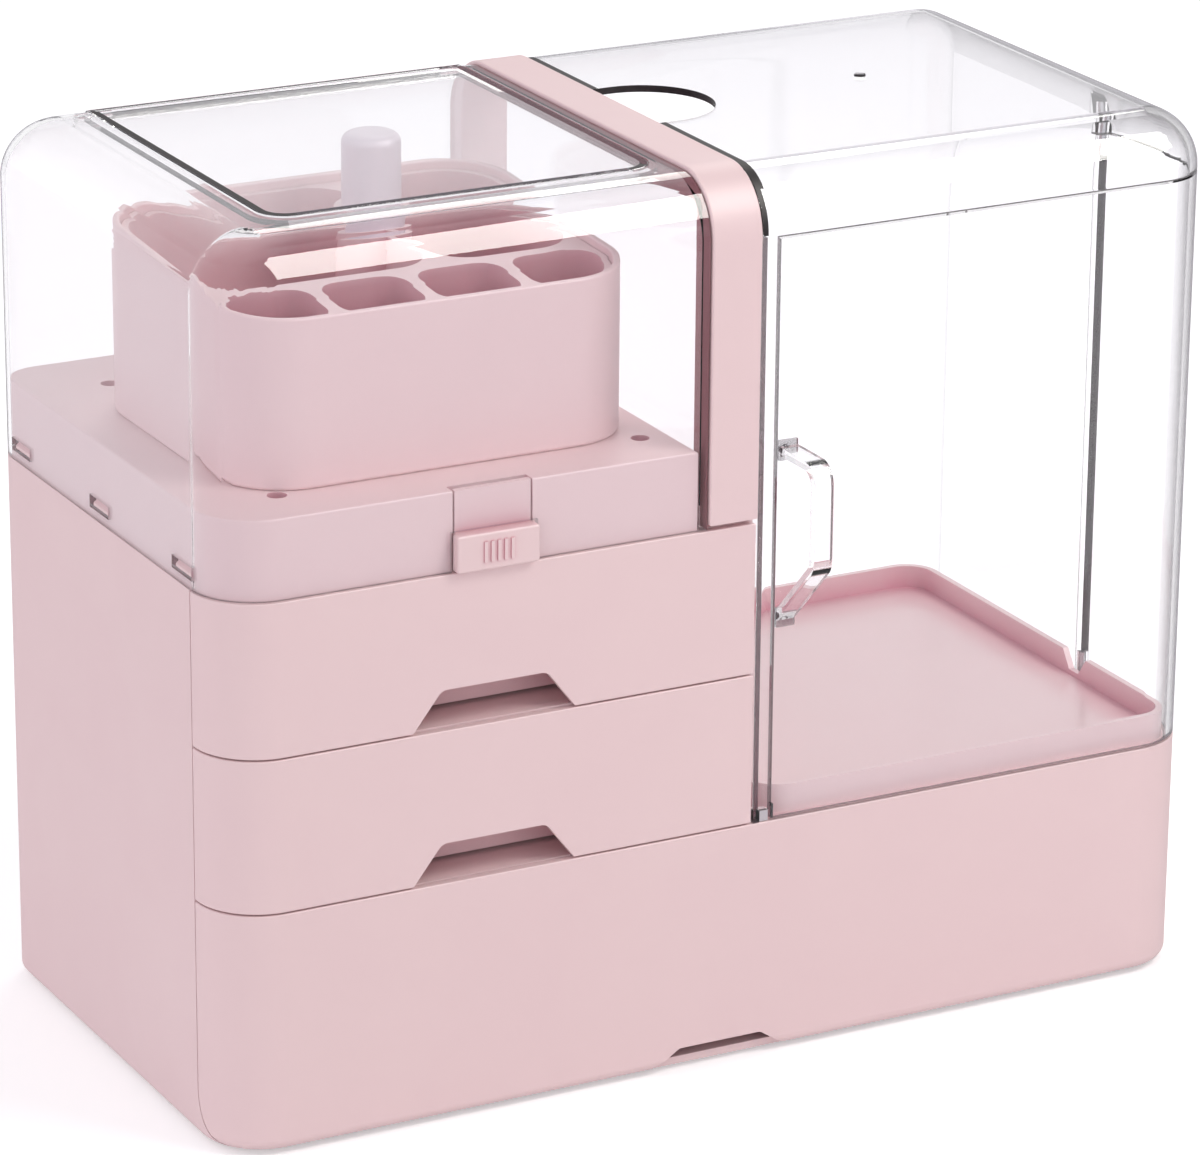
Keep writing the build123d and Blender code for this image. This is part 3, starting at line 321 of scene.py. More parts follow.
def moulded_finish_and_shade_group():
    """Moulded plastic: slow flow marks, painted shade that deepens the colour in hollows, and a
    fine spark grain.
    """
    group, source, result = shader_group(
        "Moulded finish and hollow shade",
        [
            ("Coordinates", "NodeSocketVector", None),
            ("Colour", "NodeSocketColor", (0.8, 0.6, 0.6, 1.0)),
            ("Deep colour", "NodeSocketColor", (0.75, 0.55, 0.55, 1.0)),
            ("Grain per metre", "NodeSocketFloat", 2200.0),
            ("Hollow shade colour", "NodeSocketColor", (0.66, 0.36, 0.41, 1.0)),
            ("Hollow shade reach", "NodeSocketFloat", 0.06),
            ("Gloss from", "NodeSocketFloat", 0.32),
            ("Gloss to", "NodeSocketFloat", 0.42),
        ],
        [
            ("Colour", "NodeSocketColor"), ("Roughness", "NodeSocketFloat"),
            ("Height", "NodeSocketFloat"),
        ],
    )
    given = source.outputs
    flow = add_node(group, "ShaderNodeTexNoise", {
        "Vector": given["Coordinates"], "Scale": 22.0, "Detail": 3.0, "Distortion": 0.6,
    })
    grain = add_node(group, "ShaderNodeTexNoise", {
        "Vector": given["Coordinates"], "Scale": given["Grain per metre"], "Detail": 2.0,
    })
    gloss = add_node(group, "ShaderNodeMapRange", {
        "Value": flow.outputs["Fac"], "From Min": 0.3, "From Max": 0.7,
        "To Min": given["Gloss from"], "To Max": given["Gloss to"],
    })
    skin = mixed_colour(group, flow.outputs["Fac"], given["Colour"], given["Deep colour"])
    # Painted shade: ambient occlusion within the reach mixes in the hollow colour, darker where
    # walls close in.
    openness = add_node(group, "ShaderNodeAmbientOcclusion", {
        "Distance": given["Hollow shade reach"],
    }, samples=4, only_local=True)
    hollow_shade = add_node(group, "ShaderNodeMapRange", {
        "Value": openness.outputs["AO"],
        "From Min": 0.95, "From Max": 0.3, "To Min": 0.0, "To Max": 1.0,
    })
    colour = mixed_colour(group, hollow_shade.outputs["Result"], skin, given["Hollow shade colour"])
    group.links.new(colour, result.inputs["Colour"])
    group.links.new(gloss.outputs["Result"], result.inputs["Roughness"])
    group.links.new(grain.outputs["Fac"], result.inputs["Height"])


def handling_marks_group():
    """Fine hairlines and faint smears, as on handled polished plastic or metal."""
    group, source, result = shader_group(
        "Handling marks",
        [
            ("Coordinates", "NodeSocketVector", None),
            ("Hairlines per metre", "NodeSocketFloat", 900.0),
            ("Roughness clean", "NodeSocketFloat", 0.0),
            ("Roughness marked", "NodeSocketFloat", 0.03),
        ],
        [("Roughness", "NodeSocketFloat"), ("Height", "NodeSocketFloat")],
    )
    given = source.outputs
    stretched = add_node(group, "ShaderNodeMapping", {
        "Vector": given["Coordinates"], "Rotation": (0.3, 0.5, 0.9), "Scale": (1.0, 0.04, 0.25),
    })
    hairlines = add_node(group, "ShaderNodeTexNoise", {
        "Vector": stretched.outputs["Vector"], "Scale": given["Hairlines per metre"],
        "Detail": 1.0,
    })
    smears = add_node(group, "ShaderNodeTexNoise", {
        "Vector": given["Coordinates"], "Scale": 14.0, "Detail": 4.0, "Distortion": 1.2,
    })
    roughness = add_node(group, "ShaderNodeMapRange", {
        "Value": smears.outputs["Fac"], "From Min": 0.55, "From Max": 0.8,
        "To Min": given["Roughness clean"], "To Max": given["Roughness marked"],
    })
    group.links.new(roughness.outputs["Result"], result.inputs["Roughness"])
    group.links.new(hairlines.outputs["Fac"], result.inputs["Height"])


def placed_group(tree, group, values):
    """A shader group in a material, on Object coordinates, with its own values."""
    place = tree.nodes.new("ShaderNodeTexCoord")
    node = tree.nodes.new("ShaderNodeGroup")
    node.node_tree = bpy.data.node_groups[group]
    tree.links.new(place.outputs["Object"], node.inputs["Coordinates"])
    for key, value in values.items():
        node.inputs[key].default_value = value
    return node


def moulded_plastic(
    name, colour, deep_colour, hollow_shade_colour, reach, gloss=(0.4, 0.5), shine=0.3,
):
    """Opaque satin plastic, with painted shade that deepens its colour in hollows."""
    finish = bpy.context.scene.organizer_finish
    tree, output = new_tree(name)
    surface = placed_group(tree, "Moulded finish and hollow shade", {
        "Colour": solid_colour(colour), "Deep colour": solid_colour(deep_colour),
        "Hollow shade colour": solid_colour(hollow_shade_colour), "Hollow shade reach": reach,
        "Grain per metre": 1.0 / finish.grain_size, "Gloss from": gloss[0], "Gloss to": gloss[1],
    })
    bump = add_node(tree, "ShaderNodeBump", {
        "Height": surface.outputs["Height"], "Strength": 0.4, "Distance": finish.grain_height,
    })
    shader = add_node(tree, "ShaderNodeBsdfPrincipled", {
        "Base Color": surface.outputs["Colour"], "Roughness": surface.outputs["Roughness"],
        "Normal": bump.outputs["Normal"], "IOR": STYRENE_INDEX, "Specular IOR Level": shine,
    })
    tree.links.new(shader.outputs["BSDF"], output.inputs["Surface"])


def clear_plastic(name, slant_shade, slant_from, slant_to, index=STYRENE_INDEX):
    """Clear polished plastic that lets lamps through, with painted shade that greys it where it is
    seen at a slant.
    """
    finish = bpy.context.scene.organizer_finish
    tree, output = new_tree(name)
    marks = placed_group(tree, "Handling marks", {})
    # Painted shade: Layer Weight's facing mixes the slant shade into the tint between slant_from
    # and slant_to.
    slant = add_node(tree, "ShaderNodeLayerWeight", {"Blend": 0.5})
    along = add_node(tree, "ShaderNodeMapRange", {
        "Value": slant.outputs["Facing"], "From Min": slant_from, "From Max": slant_to,
    }, interpolation_type="SMOOTHSTEP")
    tint = mixed_colour(
        tree, along.outputs["Result"], solid_colour(finish.clear_tint), solid_colour(slant_shade),
    )
    shader = add_node(tree, "ShaderNodeBsdfPrincipled", {
        "Base Color": tint, "Roughness": marks.outputs["Roughness"], "IOR": index,
        "Transmission Weight": 1.0,
    })
    through = add_node(tree, "ShaderNodeBsdfTransparent", {"Color": (0.97, 0.965, 0.975, 1.0)})
    rays = tree.nodes.new("ShaderNodeLightPath")
    bounced = add_node(tree, "ShaderNodeMixShader", {
        0: rays.outputs["Is Diffuse Ray"], 1: shader.outputs["BSDF"], 2: through.outputs["BSDF"],
    })
    either = add_node(tree, "ShaderNodeMixShader", {
        0: rays.outputs["Is Shadow Ray"], 1: bounced.outputs["Shader"],
        2: through.outputs["BSDF"],
    })
    tree.links.new(either.outputs["Shader"], output.inputs["Surface"])


def clear_edge(name, colour, alpha, gloss=(0.12, 0.25)):
    """Painted shade for the edges of the clear plastic, where the light inside is lost and the wall
    looks dark.
    """
    tree, output = new_tree(name)
    marks = placed_group(tree, "Handling marks", {
        "Roughness clean": gloss[0], "Roughness marked": gloss[1],
    })
    shader = add_node(tree, "ShaderNodeBsdfPrincipled", {
        "Base Color": solid_colour(colour), "Roughness": marks.outputs["Roughness"],
        "IOR": STYRENE_INDEX, "Specular IOR Level": 0.3, "Alpha": alpha,
    })
    tree.links.new(shader.outputs["BSDF"], output.inputs["Surface"])


def metal(name, colour, clean, marked):
    """Plain drawn metal with hairlines; clean and marked are its roughness."""
    tree, output = new_tree(name)
    marks = placed_group(tree, "Handling marks", {
        "Hairlines per metre": 4000.0, "Roughness clean": clean, "Roughness marked": marked,
    })
    bump = add_node(tree, "ShaderNodeBump", {
        "Height": marks.outputs["Height"], "Strength": 0.4, "Distance": 0.01 * MM,
    })
    shader = add_node(tree, "ShaderNodeBsdfPrincipled", {
        "Base Color": solid_colour(colour), "Metallic": 1.0,
        "Roughness": marks.outputs["Roughness"], "Normal": bump.outputs["Normal"],
    })
    tree.links.new(shader.outputs["BSDF"], output.inputs["Surface"])


def finish_nodes(names, material):
    """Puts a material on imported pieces."""
    for name in names:
        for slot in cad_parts[name].material_slots:
            slot.material = bpy.data.materials[material]


def packed_mesh(node):
    """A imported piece's mesh to work on, with its doubled points merged."""
    mesh = bmesh.new()
    mesh.from_mesh(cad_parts[node].data)
    bmesh.ops.remove_doubles(mesh, verts=mesh.verts, dist=MERGE_DISTANCE)
    return mesh


def smooth_regions(mesh):
    """Sets of faces that join without a sharp edge."""
    left = set(mesh.faces)
    while left:
        seed = left.pop()
        region, waiting = {seed}, [seed]
        while waiting:
            for edge in waiting.pop().edges:
                if edge.calc_face_angle(math.pi) > SHARP_ANGLE:
                    continue
                for other in edge.link_faces:
                    if other in left:
                        left.remove(other)
                        region.add(other)
                        waiting.append(other)
        yield region


def region_width(region):
    """Width of a strip of faces, from its area and the length of its border."""
    area = sum(face.calc_area() for face in region)
    border = sum(
        edge.calc_length() for face in region for edge in face.edges
        if sum(other in region for other in edge.link_faces) < 2
    )
    return 2.0 * area / border


def is_bend(face):
    """True for the slim slanting faces that roundings and rounded corners are made of."""
    longest = max(edge.calc_length() for edge in face.edges)
    flat = max(abs(value) for value in face.normal) > ALONG_AN_AXIS
    return not flat and face.calc_area() / longest < BEND_WIDTH


def plain_finish(face, is_edge, side_bend):
    """Material of a clear face that has none of its own."""
    if is_edge:
        return "faint_edge"
    if is_bend(face) and abs(face.normal.x) > SIDE_CORNER:
        return side_bend
    if is_bend(face) and face.normal.z > ROUNDING_START:
        return "clear_round"
    return "clear_styrene"


def clear_copy(
    node, body, own_finish=None, cuts=(), top_margin=0.0, side_bend="clear_corner",
):
    """A packed clear piece as one joined mesh, with its cut edges told apart and rounded.

    own_finish takes a face's normal, its centre and whether it is in a cut edge, and gives the
    face's material, or None where the plain one will do. Each of cuts is the axis and place of
    a plane that divides the faces, and top_margin the width of a strip of painted shade round
    the highest face. side_bend is the material of the rounded corners.
    """
    sizes = bpy.context.scene.organizer_sizes
    mesh = packed_mesh(node)
    bmesh.ops.dissolve_limit(mesh, angle_limit=FLAT_ANGLE, verts=mesh.verts, edges=mesh.edges)
    for region in smooth_regions(mesh):
        is_edge = region_width(region) < sizes.wall
        for face in region:
            face.material_index = 1 if is_edge else 0
    for axis, place in cuts:
        across = Vector([1.0 if axis == other else 0.0 for other in "xyz"])
        bmesh.ops.bisect_plane(
            mesh, geom=mesh.verts[:] + mesh.edges[:] + mesh.faces[:],
            plane_co=across * place, plane_no=across,
        )
    # Painted shade: a dark strip round the top face, where the light in the wall is lost.
    if top_margin:
        top_z = max(vertex.co.z for vertex in mesh.verts) - LEVEL_WITHIN
        top = [
            face for face in mesh.faces
            if face.normal.z > LOOKS_UP and face.calc_center_median().z > top_z
        ]
        margin = bmesh.ops.inset_region(
            mesh, faces=top, thickness=top_margin, use_even_offset=True,
        )
        for face in margin["faces"]:
            face.material_index = 1
    for face in mesh.faces:
        is_edge = face.material_index == 1
        finish = own_finish and own_finish(face.normal, face.calc_center_median(), is_edge)
        face.material_index = CLEAR_MATERIALS.index(
            finish or plain_finish(face, is_edge, side_bend)
        )
    sharp = [
        edge for edge in mesh.edges
        if len(edge.link_faces) == 2 and edge.calc_face_angle() > SHARP_ANGLE
    ]
    bmesh.ops.bevel(
        mesh, geom=sharp, offset=sizes.edge_round, segments=2, profile=0.5, affect="EDGES",
        clamp_overlap=True, loop_slide=True,
    )
    data = bpy.data.meshes.new(f"{node}_clear")
    mesh.to_mesh(data)
    mesh.free()
    for material in CLEAR_MATERIALS:
        data.materials.append(bpy.data.materials[material])
    piece = placed(f"{node}_clear", data)
    data.shade_smooth()
    data.set_sharp_from_angle(angle=SHARP_ANGLE)
    weighted = piece.modifiers.new("Flat faces stay flat", "WEIGHTED_NORMAL")
    weighted.keep_sharp = True
    apply_modifiers(piece)
    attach(piece, body)
    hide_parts(node)


def placed(name, data):
    """A new object in the scene."""
    item = bpy.data.objects.new(name, data)
    bpy.context.scene.collection.objects.link(item)
    return item


def apply_modifiers(piece):
    """Turns a piece's evaluated shape into its plain mesh and removes its modifiers."""
    view = bpy.context.evaluated_depsgraph_get()
    data = bpy.data.meshes.new_from_object(piece.evaluated_get(view), depsgraph=view)
    piece.modifiers.clear()
    piece.data = data


def geometry_tree(name, inputs):
    """An empty Geometry Nodes tree with named inputs; each of inputs is (name, kind, default)."""
    tree = bpy.data.node_groups.new(name, "GeometryNodeTree")
    tree.interface.new_socket("Points", in_out="INPUT", socket_type="NodeSocketGeometry")
    for label, kind, default in inputs:
        socket = tree.interface.new_socket(label, in_out="INPUT", socket_type=kind)
        socket.default_value = default
    tree.interface.new_socket("Material", in_out="INPUT", socket_type="NodeSocketMaterial")
    tree.interface.new_socket("Mesh", in_out="OUTPUT", socket_type="NodeSocketGeometry")
    return tree, tree.nodes.new("NodeGroupInput"), tree.nodes.new("NodeGroupOutput")


def scaled(tree, value, share):
    """A share of a number in a tree."""
    return computed(tree, "MULTIPLY", value, share)


def moved(tree, mesh, height, angle=0.0):
    """A mesh in a tree, raised by a height and turned about the upright axis."""
    offset = add_node(tree, "ShaderNodeCombineXYZ", {"Z": height})
    return add_node(tree, "GeometryNodeTransform", {
        "Geometry": mesh, "Translation": offset.outputs[0], "Rotation": (0.0, 0.0, angle),
    }).outputs["Geometry"]


def cylinder(tree, sides, radius, height):
    """A cylinder in a tree, centred on the origin."""
    return add_node(tree, "GeometryNodeMeshCylinder", {
        "Vertices": sides, "Radius": radius, "Depth": height,
    }).outputs["Mesh"]


def circle(tree, sides, radius):
    """A circle in a tree."""
    return add_node(tree, "GeometryNodeCurvePrimitiveCircle", {
        "Resolution": sides, "Radius": radius,
    }, mode="RADIUS").outputs["Curve"]


def helix(tree, steps, turns, radius, height):
    """A helix in a tree that rises from the origin."""
    return add_node(tree, "GeometryNodeCurveSpiral", {
        "Resolution": steps, "Rotations": turns, "Start Radius": radius, "End Radius": radius,
        "Height": height,
    }).outputs["Curve"]


def swept(tree, path, section, capped):
    """A section carried along a path in a tree."""
    return add_node(tree, "GeometryNodeCurveToMesh", {
        "Curve": path, "Profile Curve": section, "Fill Caps": capped,
    }).outputs["Mesh"]


def joined(tree, *meshes):
    """Several meshes in a tree side by side in one."""
    node = tree.nodes.new("GeometryNodeJoinGeometry")
    for mesh in meshes:
        tree.links.new(mesh, node.inputs["Geometry"])
    return node.outputs["Geometry"]


def combined(tree, operation, meshes, base=None):
    """Closed meshes in a tree made one, or cut out of the base."""
    node = add_node(tree, "GeometryNodeMeshBoolean", operation=operation, solver="MANIFOLD")
    if base is not None:
        tree.links.new(base, node.inputs["Mesh 1"])
    for mesh in meshes:
        tree.links.new(mesh, node.inputs["Mesh 2"])
    return node.outputs["Mesh"]


def finish_tree(tree, source, result, shape, rotation=None):
    """Ends a tree: the shape on each point, as real faces with the material."""
    copies = add_node(tree, "GeometryNodeInstanceOnPoints", {
        "Points": source.outputs["Points"], "Instance": shape,
    })
    if rotation is not None:
        tree.links.new(rotation, copies.inputs["Rotation"])
    real = add_node(tree, "GeometryNodeRealizeInstances", {
        "Geometry": copies.outputs["Instances"],
    })
    coloured = add_node(tree, "GeometryNodeSetMaterial", {
        "Geometry": real.outputs["Geometry"], "Material": source.outputs["Material"],
    })
    tree.links.new(coloured.outputs["Geometry"], result.inputs["Mesh"])


def screw_tree():
    """A pan-head screw with a cross recess and a thread; the head's underside is at the point."""
    tree, source, result = geometry_tree("Threaded screws", [
        ("Head radius", "NodeSocketFloat", 2.8 * MM),
        ("Head height", "NodeSocketFloat", 2.2 * MM),
        ("Thread radius", "NodeSocketFloat", 1.5 * MM),
        ("Length", "NodeSocketFloat", 8.0 * MM),
        ("Pitch", "NodeSocketFloat", 0.9 * MM),
        ("Turn", "NodeSocketFloat", 0.0),
    ])
    head_radius, head_height, thread_radius, length, pitch, turn = source.outputs[1:7]
    rim_share, crown_share, core_share = 0.55, 0.72, 0.78
    recess_length, recess_width = 1.1, 0.26
    threaded_share, thread_bottom = 0.82, -0.94
    head_sides, core_sides, thread_steps, ridge_sides = 40, 32, 20, 4

    rim_height = scaled(tree, head_height, rim_share)
    core_radius = scaled(tree, thread_radius, core_share)
    rim = cylinder(tree, head_sides, head_radius, rim_height)
    crown = add_node(tree, "GeometryNodeMeshCone", {
        "Vertices": head_sides, "Radius Bottom": head_radius,
        "Radius Top": scaled(tree, head_radius, crown_share),
        "Depth": computed(tree, "SUBTRACT", head_height, rim_height),
    })
    core = cylinder(tree, core_sides, core_radius, length)
    whole = combined(tree, "UNION", [
        moved(tree, rim, scaled(tree, rim_height, 0.5)),
        moved(tree, crown.outputs["Mesh"], rim_height),
        moved(tree, core, scaled(tree, length, -0.5)),
    ])

    recess = add_node(tree, "ShaderNodeCombineXYZ", {
        "X": scaled(tree, head_radius, recess_length),
        "Y": scaled(tree, head_radius, recess_width), "Z": head_height,
    })
    bar = add_node(tree, "GeometryNodeMeshCube", {"Size": recess.outputs[0]})
    crossed = combined(tree, "DIFFERENCE", [
        moved(tree, bar.outputs["Mesh"], head_height, angle)
        for angle in (math.pi / 4, 3 * math.pi / 4)
    ], base=whole)

    threaded = scaled(tree, length, threaded_share)
    turns = computed(tree, "DIVIDE", threaded, pitch)
    ridge = circle(tree, ridge_sides, computed(tree, "SUBTRACT", thread_radius, core_radius))
    thread = swept(tree, helix(tree, thread_steps, turns, core_radius, threaded), ridge, True)
    screw = joined(tree, moved(tree, thread, scaled(tree, length, thread_bottom)), crossed)
    turned = add_node(tree, "ShaderNodeCombineXYZ", {"X": turn})
    finish_tree(tree, source, result, screw, turned.outputs[0])
    return tree


def foot_pad_tree():
    """A round pad with raised rings beneath; its lowest point is at the point."""
    tree, source, result = geometry_tree("Ringed pads", [
        ("Radius", "NodeSocketFloat", 6.5 * MM),
        ("Height", "NodeSocketFloat", 2.0 * MM),
        ("Rings", "NodeSocketInt", 4),
    ])
    radius, height, rings = source.outputs[1:4]
    rise_share = 0.2
    round_sides, bead_sides = 64, 12

    rise = scaled(tree, height, rise_share)
    disc_height = computed(tree, "SUBTRACT", height, rise)
    disc = cylinder(tree, round_sides, radius, disc_height)
    disc_middle = computed(tree, "ADD", rise, scaled(tree, disc_height, 0.5))

    row = add_node(tree, "GeometryNodeMeshLine", {"Count": rings, "Offset": (0.0, 0.0, 0.0)})
    step = computed(tree, "DIVIDE", computed(tree, "SUBTRACT", radius, rise), rings)
    index = add_node(tree, "GeometryNodeInputIndex")
    number = computed(tree, "ADD", index.outputs["Index"], 1.0)
    circles = add_node(tree, "GeometryNodeInstanceOnPoints", {
        "Points": row.outputs["Mesh"], "Instance": circle(tree, round_sides, 1.0),
        "Scale": computed(tree, "MULTIPLY", step, number),
    })
    real = add_node(tree, "GeometryNodeRealizeInstances", {
        "Geometry": circles.outputs["Instances"],
    })
    beads = swept(tree, real.outputs["Geometry"], circle(tree, bead_sides, rise), False)
    pad = joined(tree, moved(tree, disc, disc_middle), moved(tree, beads, rise))
    finish_tree(tree, source, result, pad)
    return tree


def spring_tree():
    """A coil of wire that runs backwards from the point."""
    tree, source, result = geometry_tree("Wound spring", [
        ("Radius", "NodeSocketFloat", 3.0 * MM),
        ("Wire radius", "NodeSocketFloat", 0.35 * MM),
        ("Turns", "NodeSocketFloat", 6.0),
        ("Length", "NodeSocketFloat", 9.3 * MM),
    ])
    radius, wire, turns, length = source.outputs[1:5]
    turn_steps, wire_sides = 32, 12
    path = helix(tree, turn_steps, turns, radius, length)
    wound = swept(tree, path, circle(tree, wire_sides, wire), True)
    backwards = add_node(tree, "ShaderNodeCombineXYZ", {"X": -math.pi / 2})
    finish_tree(tree, source, result, wound, backwards.outputs[0])
    return tree


def solid_boxes(node):
    """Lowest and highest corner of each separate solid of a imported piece."""
    mesh = packed_mesh(node)
    left, boxes = set(mesh.verts), []
    while left:
        solid = [left.pop()]
        for vertex in solid:
            for edge in vertex.link_edges:
                other = edge.other_vert(vertex)
                if other in left:
                    left.remove(other)
                    solid.append(other)
        boxes.append(tuple(
            Vector([pick(vertex.co[axis] for vertex in solid) for axis in range(3)])
            for pick in (min, max)
        ))
    mesh.free()
    return sorted(boxes, key=lambda box: tuple(round(value, 4) for value in box[0]))


def grown_piece(name, tree, points, values, body, replaced):
    """What a Geometry Nodes tree makes on points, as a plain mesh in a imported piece's place."""
    data = bpy.data.meshes.new(name)
    data.from_pydata(points, [], [])
    piece = placed(name, data)
    modifier = piece.modifiers.new("Shape", "NODES")
    modifier.node_group = tree
    for item in tree.interface.items_tree:
        if item.in_out == "INPUT" and item.name in values:
            modifier[item.identifier] = values[item.name]
    apply_modifiers(piece)
    if not piece.data.polygons:
        raise RuntimeError(f"{name} came out empty")
    piece.data.materials.clear()
    piece.data.materials.append(values["Material"])
    piece.data.polygons.foreach_set("material_index", [0] * len(piece.data.polygons))
    piece.data.shade_smooth()
    piece.data.set_sharp_from_angle(angle=GROWN_SHARP_ANGLE)
    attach(piece, body)
    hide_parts(replaced)


def seen_directly(tree, rays):
    """1 for what the camera sees, also through clear plastic, and 0 for all other light."""
    return computed(tree, "ADD", rays.outputs["Is Camera Ray"],
                    rays.outputs["Is Transmission Ray"], clamped=True)


def floor_material():
    """White floor that takes the object's shadow, white to the camera and in reflections."""
    glow_share = 0.35
    tree, output = new_tree("floor_white")
    cloud = add_node(tree, "ShaderNodeTexNoise", {"Scale": 1.2, "Detail": 2.0})
    colour = mixed_colour(
        tree, cloud.outputs["Fac"], (0.92, 0.915, 0.92, 1.0), (0.90, 0.90, 0.905, 1.0),
    )
    matt = add_node(tree, "ShaderNodeBsdfDiffuse", {"Color": colour})
    rays = tree.nodes.new("ShaderNodeLightPath")
    glow = add_node(tree, "ShaderNodeEmission", {
        "Strength": scaled(tree, seen_directly(tree, rays), glow_share),
    })
    both = add_node(tree, "ShaderNodeAddShader", {
        0: matt.outputs["BSDF"], 1: glow.outputs["Emission"],
    })
    reflected = add_node(tree, "ShaderNodeEmission", {
        "Color": (0.97, 0.95, 1.0, 1.0), "Strength": 0.66,
    })
    mirrored = computed(tree, "SUBTRACT", rays.outputs["Is Glossy Ray"],
                        rays.outputs["Is Transmission Ray"], clamped=True)
    either = add_node(tree, "ShaderNodeMixShader", {
        0: mirrored, 1: both.outputs["Shader"], 2: reflected.outputs["Emission"],
    })
    tree.links.new(either.outputs["Shader"], output.inputs["Surface"])


def add_floor():
    """A wide floor under the feet."""
    half = 8.0
    drop = 0.2 * MM
    corners = [(x, y, -drop) for x, y in (
        (-half, -half), (half, -half), (half, half), (-half, half),
    )]
    data = bpy.data.meshes.new("floor")
    data.from_pydata(corners, [], [(0, 1, 2, 3)])
    data.materials.append(bpy.data.materials["floor_white"])
    floor = placed("floor", data)


def set_daylight(level, colour):
    """Cool light from all round, stronger from the left and weaker from overhead.

    The camera sees white, and reflections see a white horizon and a dim ceiling.
    """
    left_share, right_share = 1.5, 0.5
    world = bpy.data.worlds.new("studio")
    world.use_nodes = True
    bpy.context.scene.world = world
    tree = world.node_tree
    tree.nodes.clear()
    output = tree.nodes.new("ShaderNodeOutputWorld")
    rays = tree.nodes.new("ShaderNodeLightPath")
    place = tree.nodes.new("ShaderNodeTexCoord")
    towards = add_node(tree, "ShaderNodeSeparateXYZ", {0: place.outputs["Generated"]})
    ceiling = add_node(tree, "ShaderNodeMapRange", {
        "Value": towards.outputs["Z"],
        "From Min": 0.0, "From Max": 0.8, "To Min": 1.0, "To Max": 0.2,
    }, interpolation_type="SMOOTHSTEP")
    seen = seen_directly(tree, rays)
    sideways = add_node(tree, "ShaderNodeMapRange", {
        "Value": towards.outputs["X"], "From Min": -1.0, "From Max": 1.0,
        "To Min": left_share * level, "To Max": right_share * level,
    })
    lower = add_node(tree, "ShaderNodeMapRange", {
        "Value": towards.outputs["Z"],
        "From Min": 0.0, "From Max": 1.0, "To Min": 1.0, "To Max": 0.3,
    })
    even = computed(tree, "MULTIPLY", sideways.outputs["Result"], lower.outputs["Result"])
    reflected = add_node(tree, "ShaderNodeMix", {
        0: rays.outputs["Is Glossy Ray"], 2: even, 3: ceiling.outputs["Result"],
    })
    strength = add_node(tree, "ShaderNodeMix", {0: seen, 2: reflected.outputs[0], 3: 1.0})
    tint = mixed_colour(tree, seen, colour, (1.0, 1.0, 1.0, 1.0))
    sky = add_node(tree, "ShaderNodeBackground", {
        "Color": tint, "Strength": strength.outputs[0],
    })
    tree.links.new(sky.outputs["Background"], output.inputs["Surface"])


def direction(azimuth, elevation):
    """Unit vector towards a place round the object; azimuth 0 is its front and 90 its right."""
    return Vector((
        math.sin(azimuth) * math.cos(elevation), -math.cos(azimuth) * math.cos(elevation),
        math.sin(elevation),
    ))


def add_softbox(name, azimuth, elevation, size, radiance):
    """A rectangular lamp that faces the object."""
    lamp = bpy.data.lights.new(name, "AREA")
    lamp.shape = "RECTANGLE"
    lamp.size, lamp.size_y = size
    lamp.energy = radiance * math.pi * size[0] * size[1]
    lamp.color = bpy.context.scene.organizer_studio.key_colour
    softbox = placed(name, lamp)
    towards = direction(math.radians(azimuth), math.radians(elevation))
    softbox.location = SOFTBOX_CENTRE + SOFTBOX_REACH * towards
    softbox.rotation_euler = towards.to_track_quat("Z", "Y").to_euler()
    softbox.visible_transmission = False
    return softbox


def add_camera(studio):
    """The camera at the photograph's place."""
    towards = direction(-studio.azimuth, studio.elevation)
    forward = -towards
    right = forward.cross(Vector((0.0, 0.0, 1.0))).normalized()
    up = right.cross(forward)
    turn_cos, turn_sin = math.cos(studio.roll), math.sin(studio.roll)
    across = right * turn_cos + up * turn_sin
    upward = up * turn_cos - right * turn_sin
    lens = bpy.data.cameras.new("camera")
    lens.sensor_fit = "HORIZONTAL"
    lens.sensor_width = SENSOR_WIDTH
    lens.lens = studio.lens
    camera = placed("camera", lens)
    place = Matrix.Translation(Vector(studio.aim) + towards * studio.distance)
    camera.matrix_world = place @ Matrix((across, upward, towards)).transposed().to_4x4()
    bpy.context.scene.camera = camera


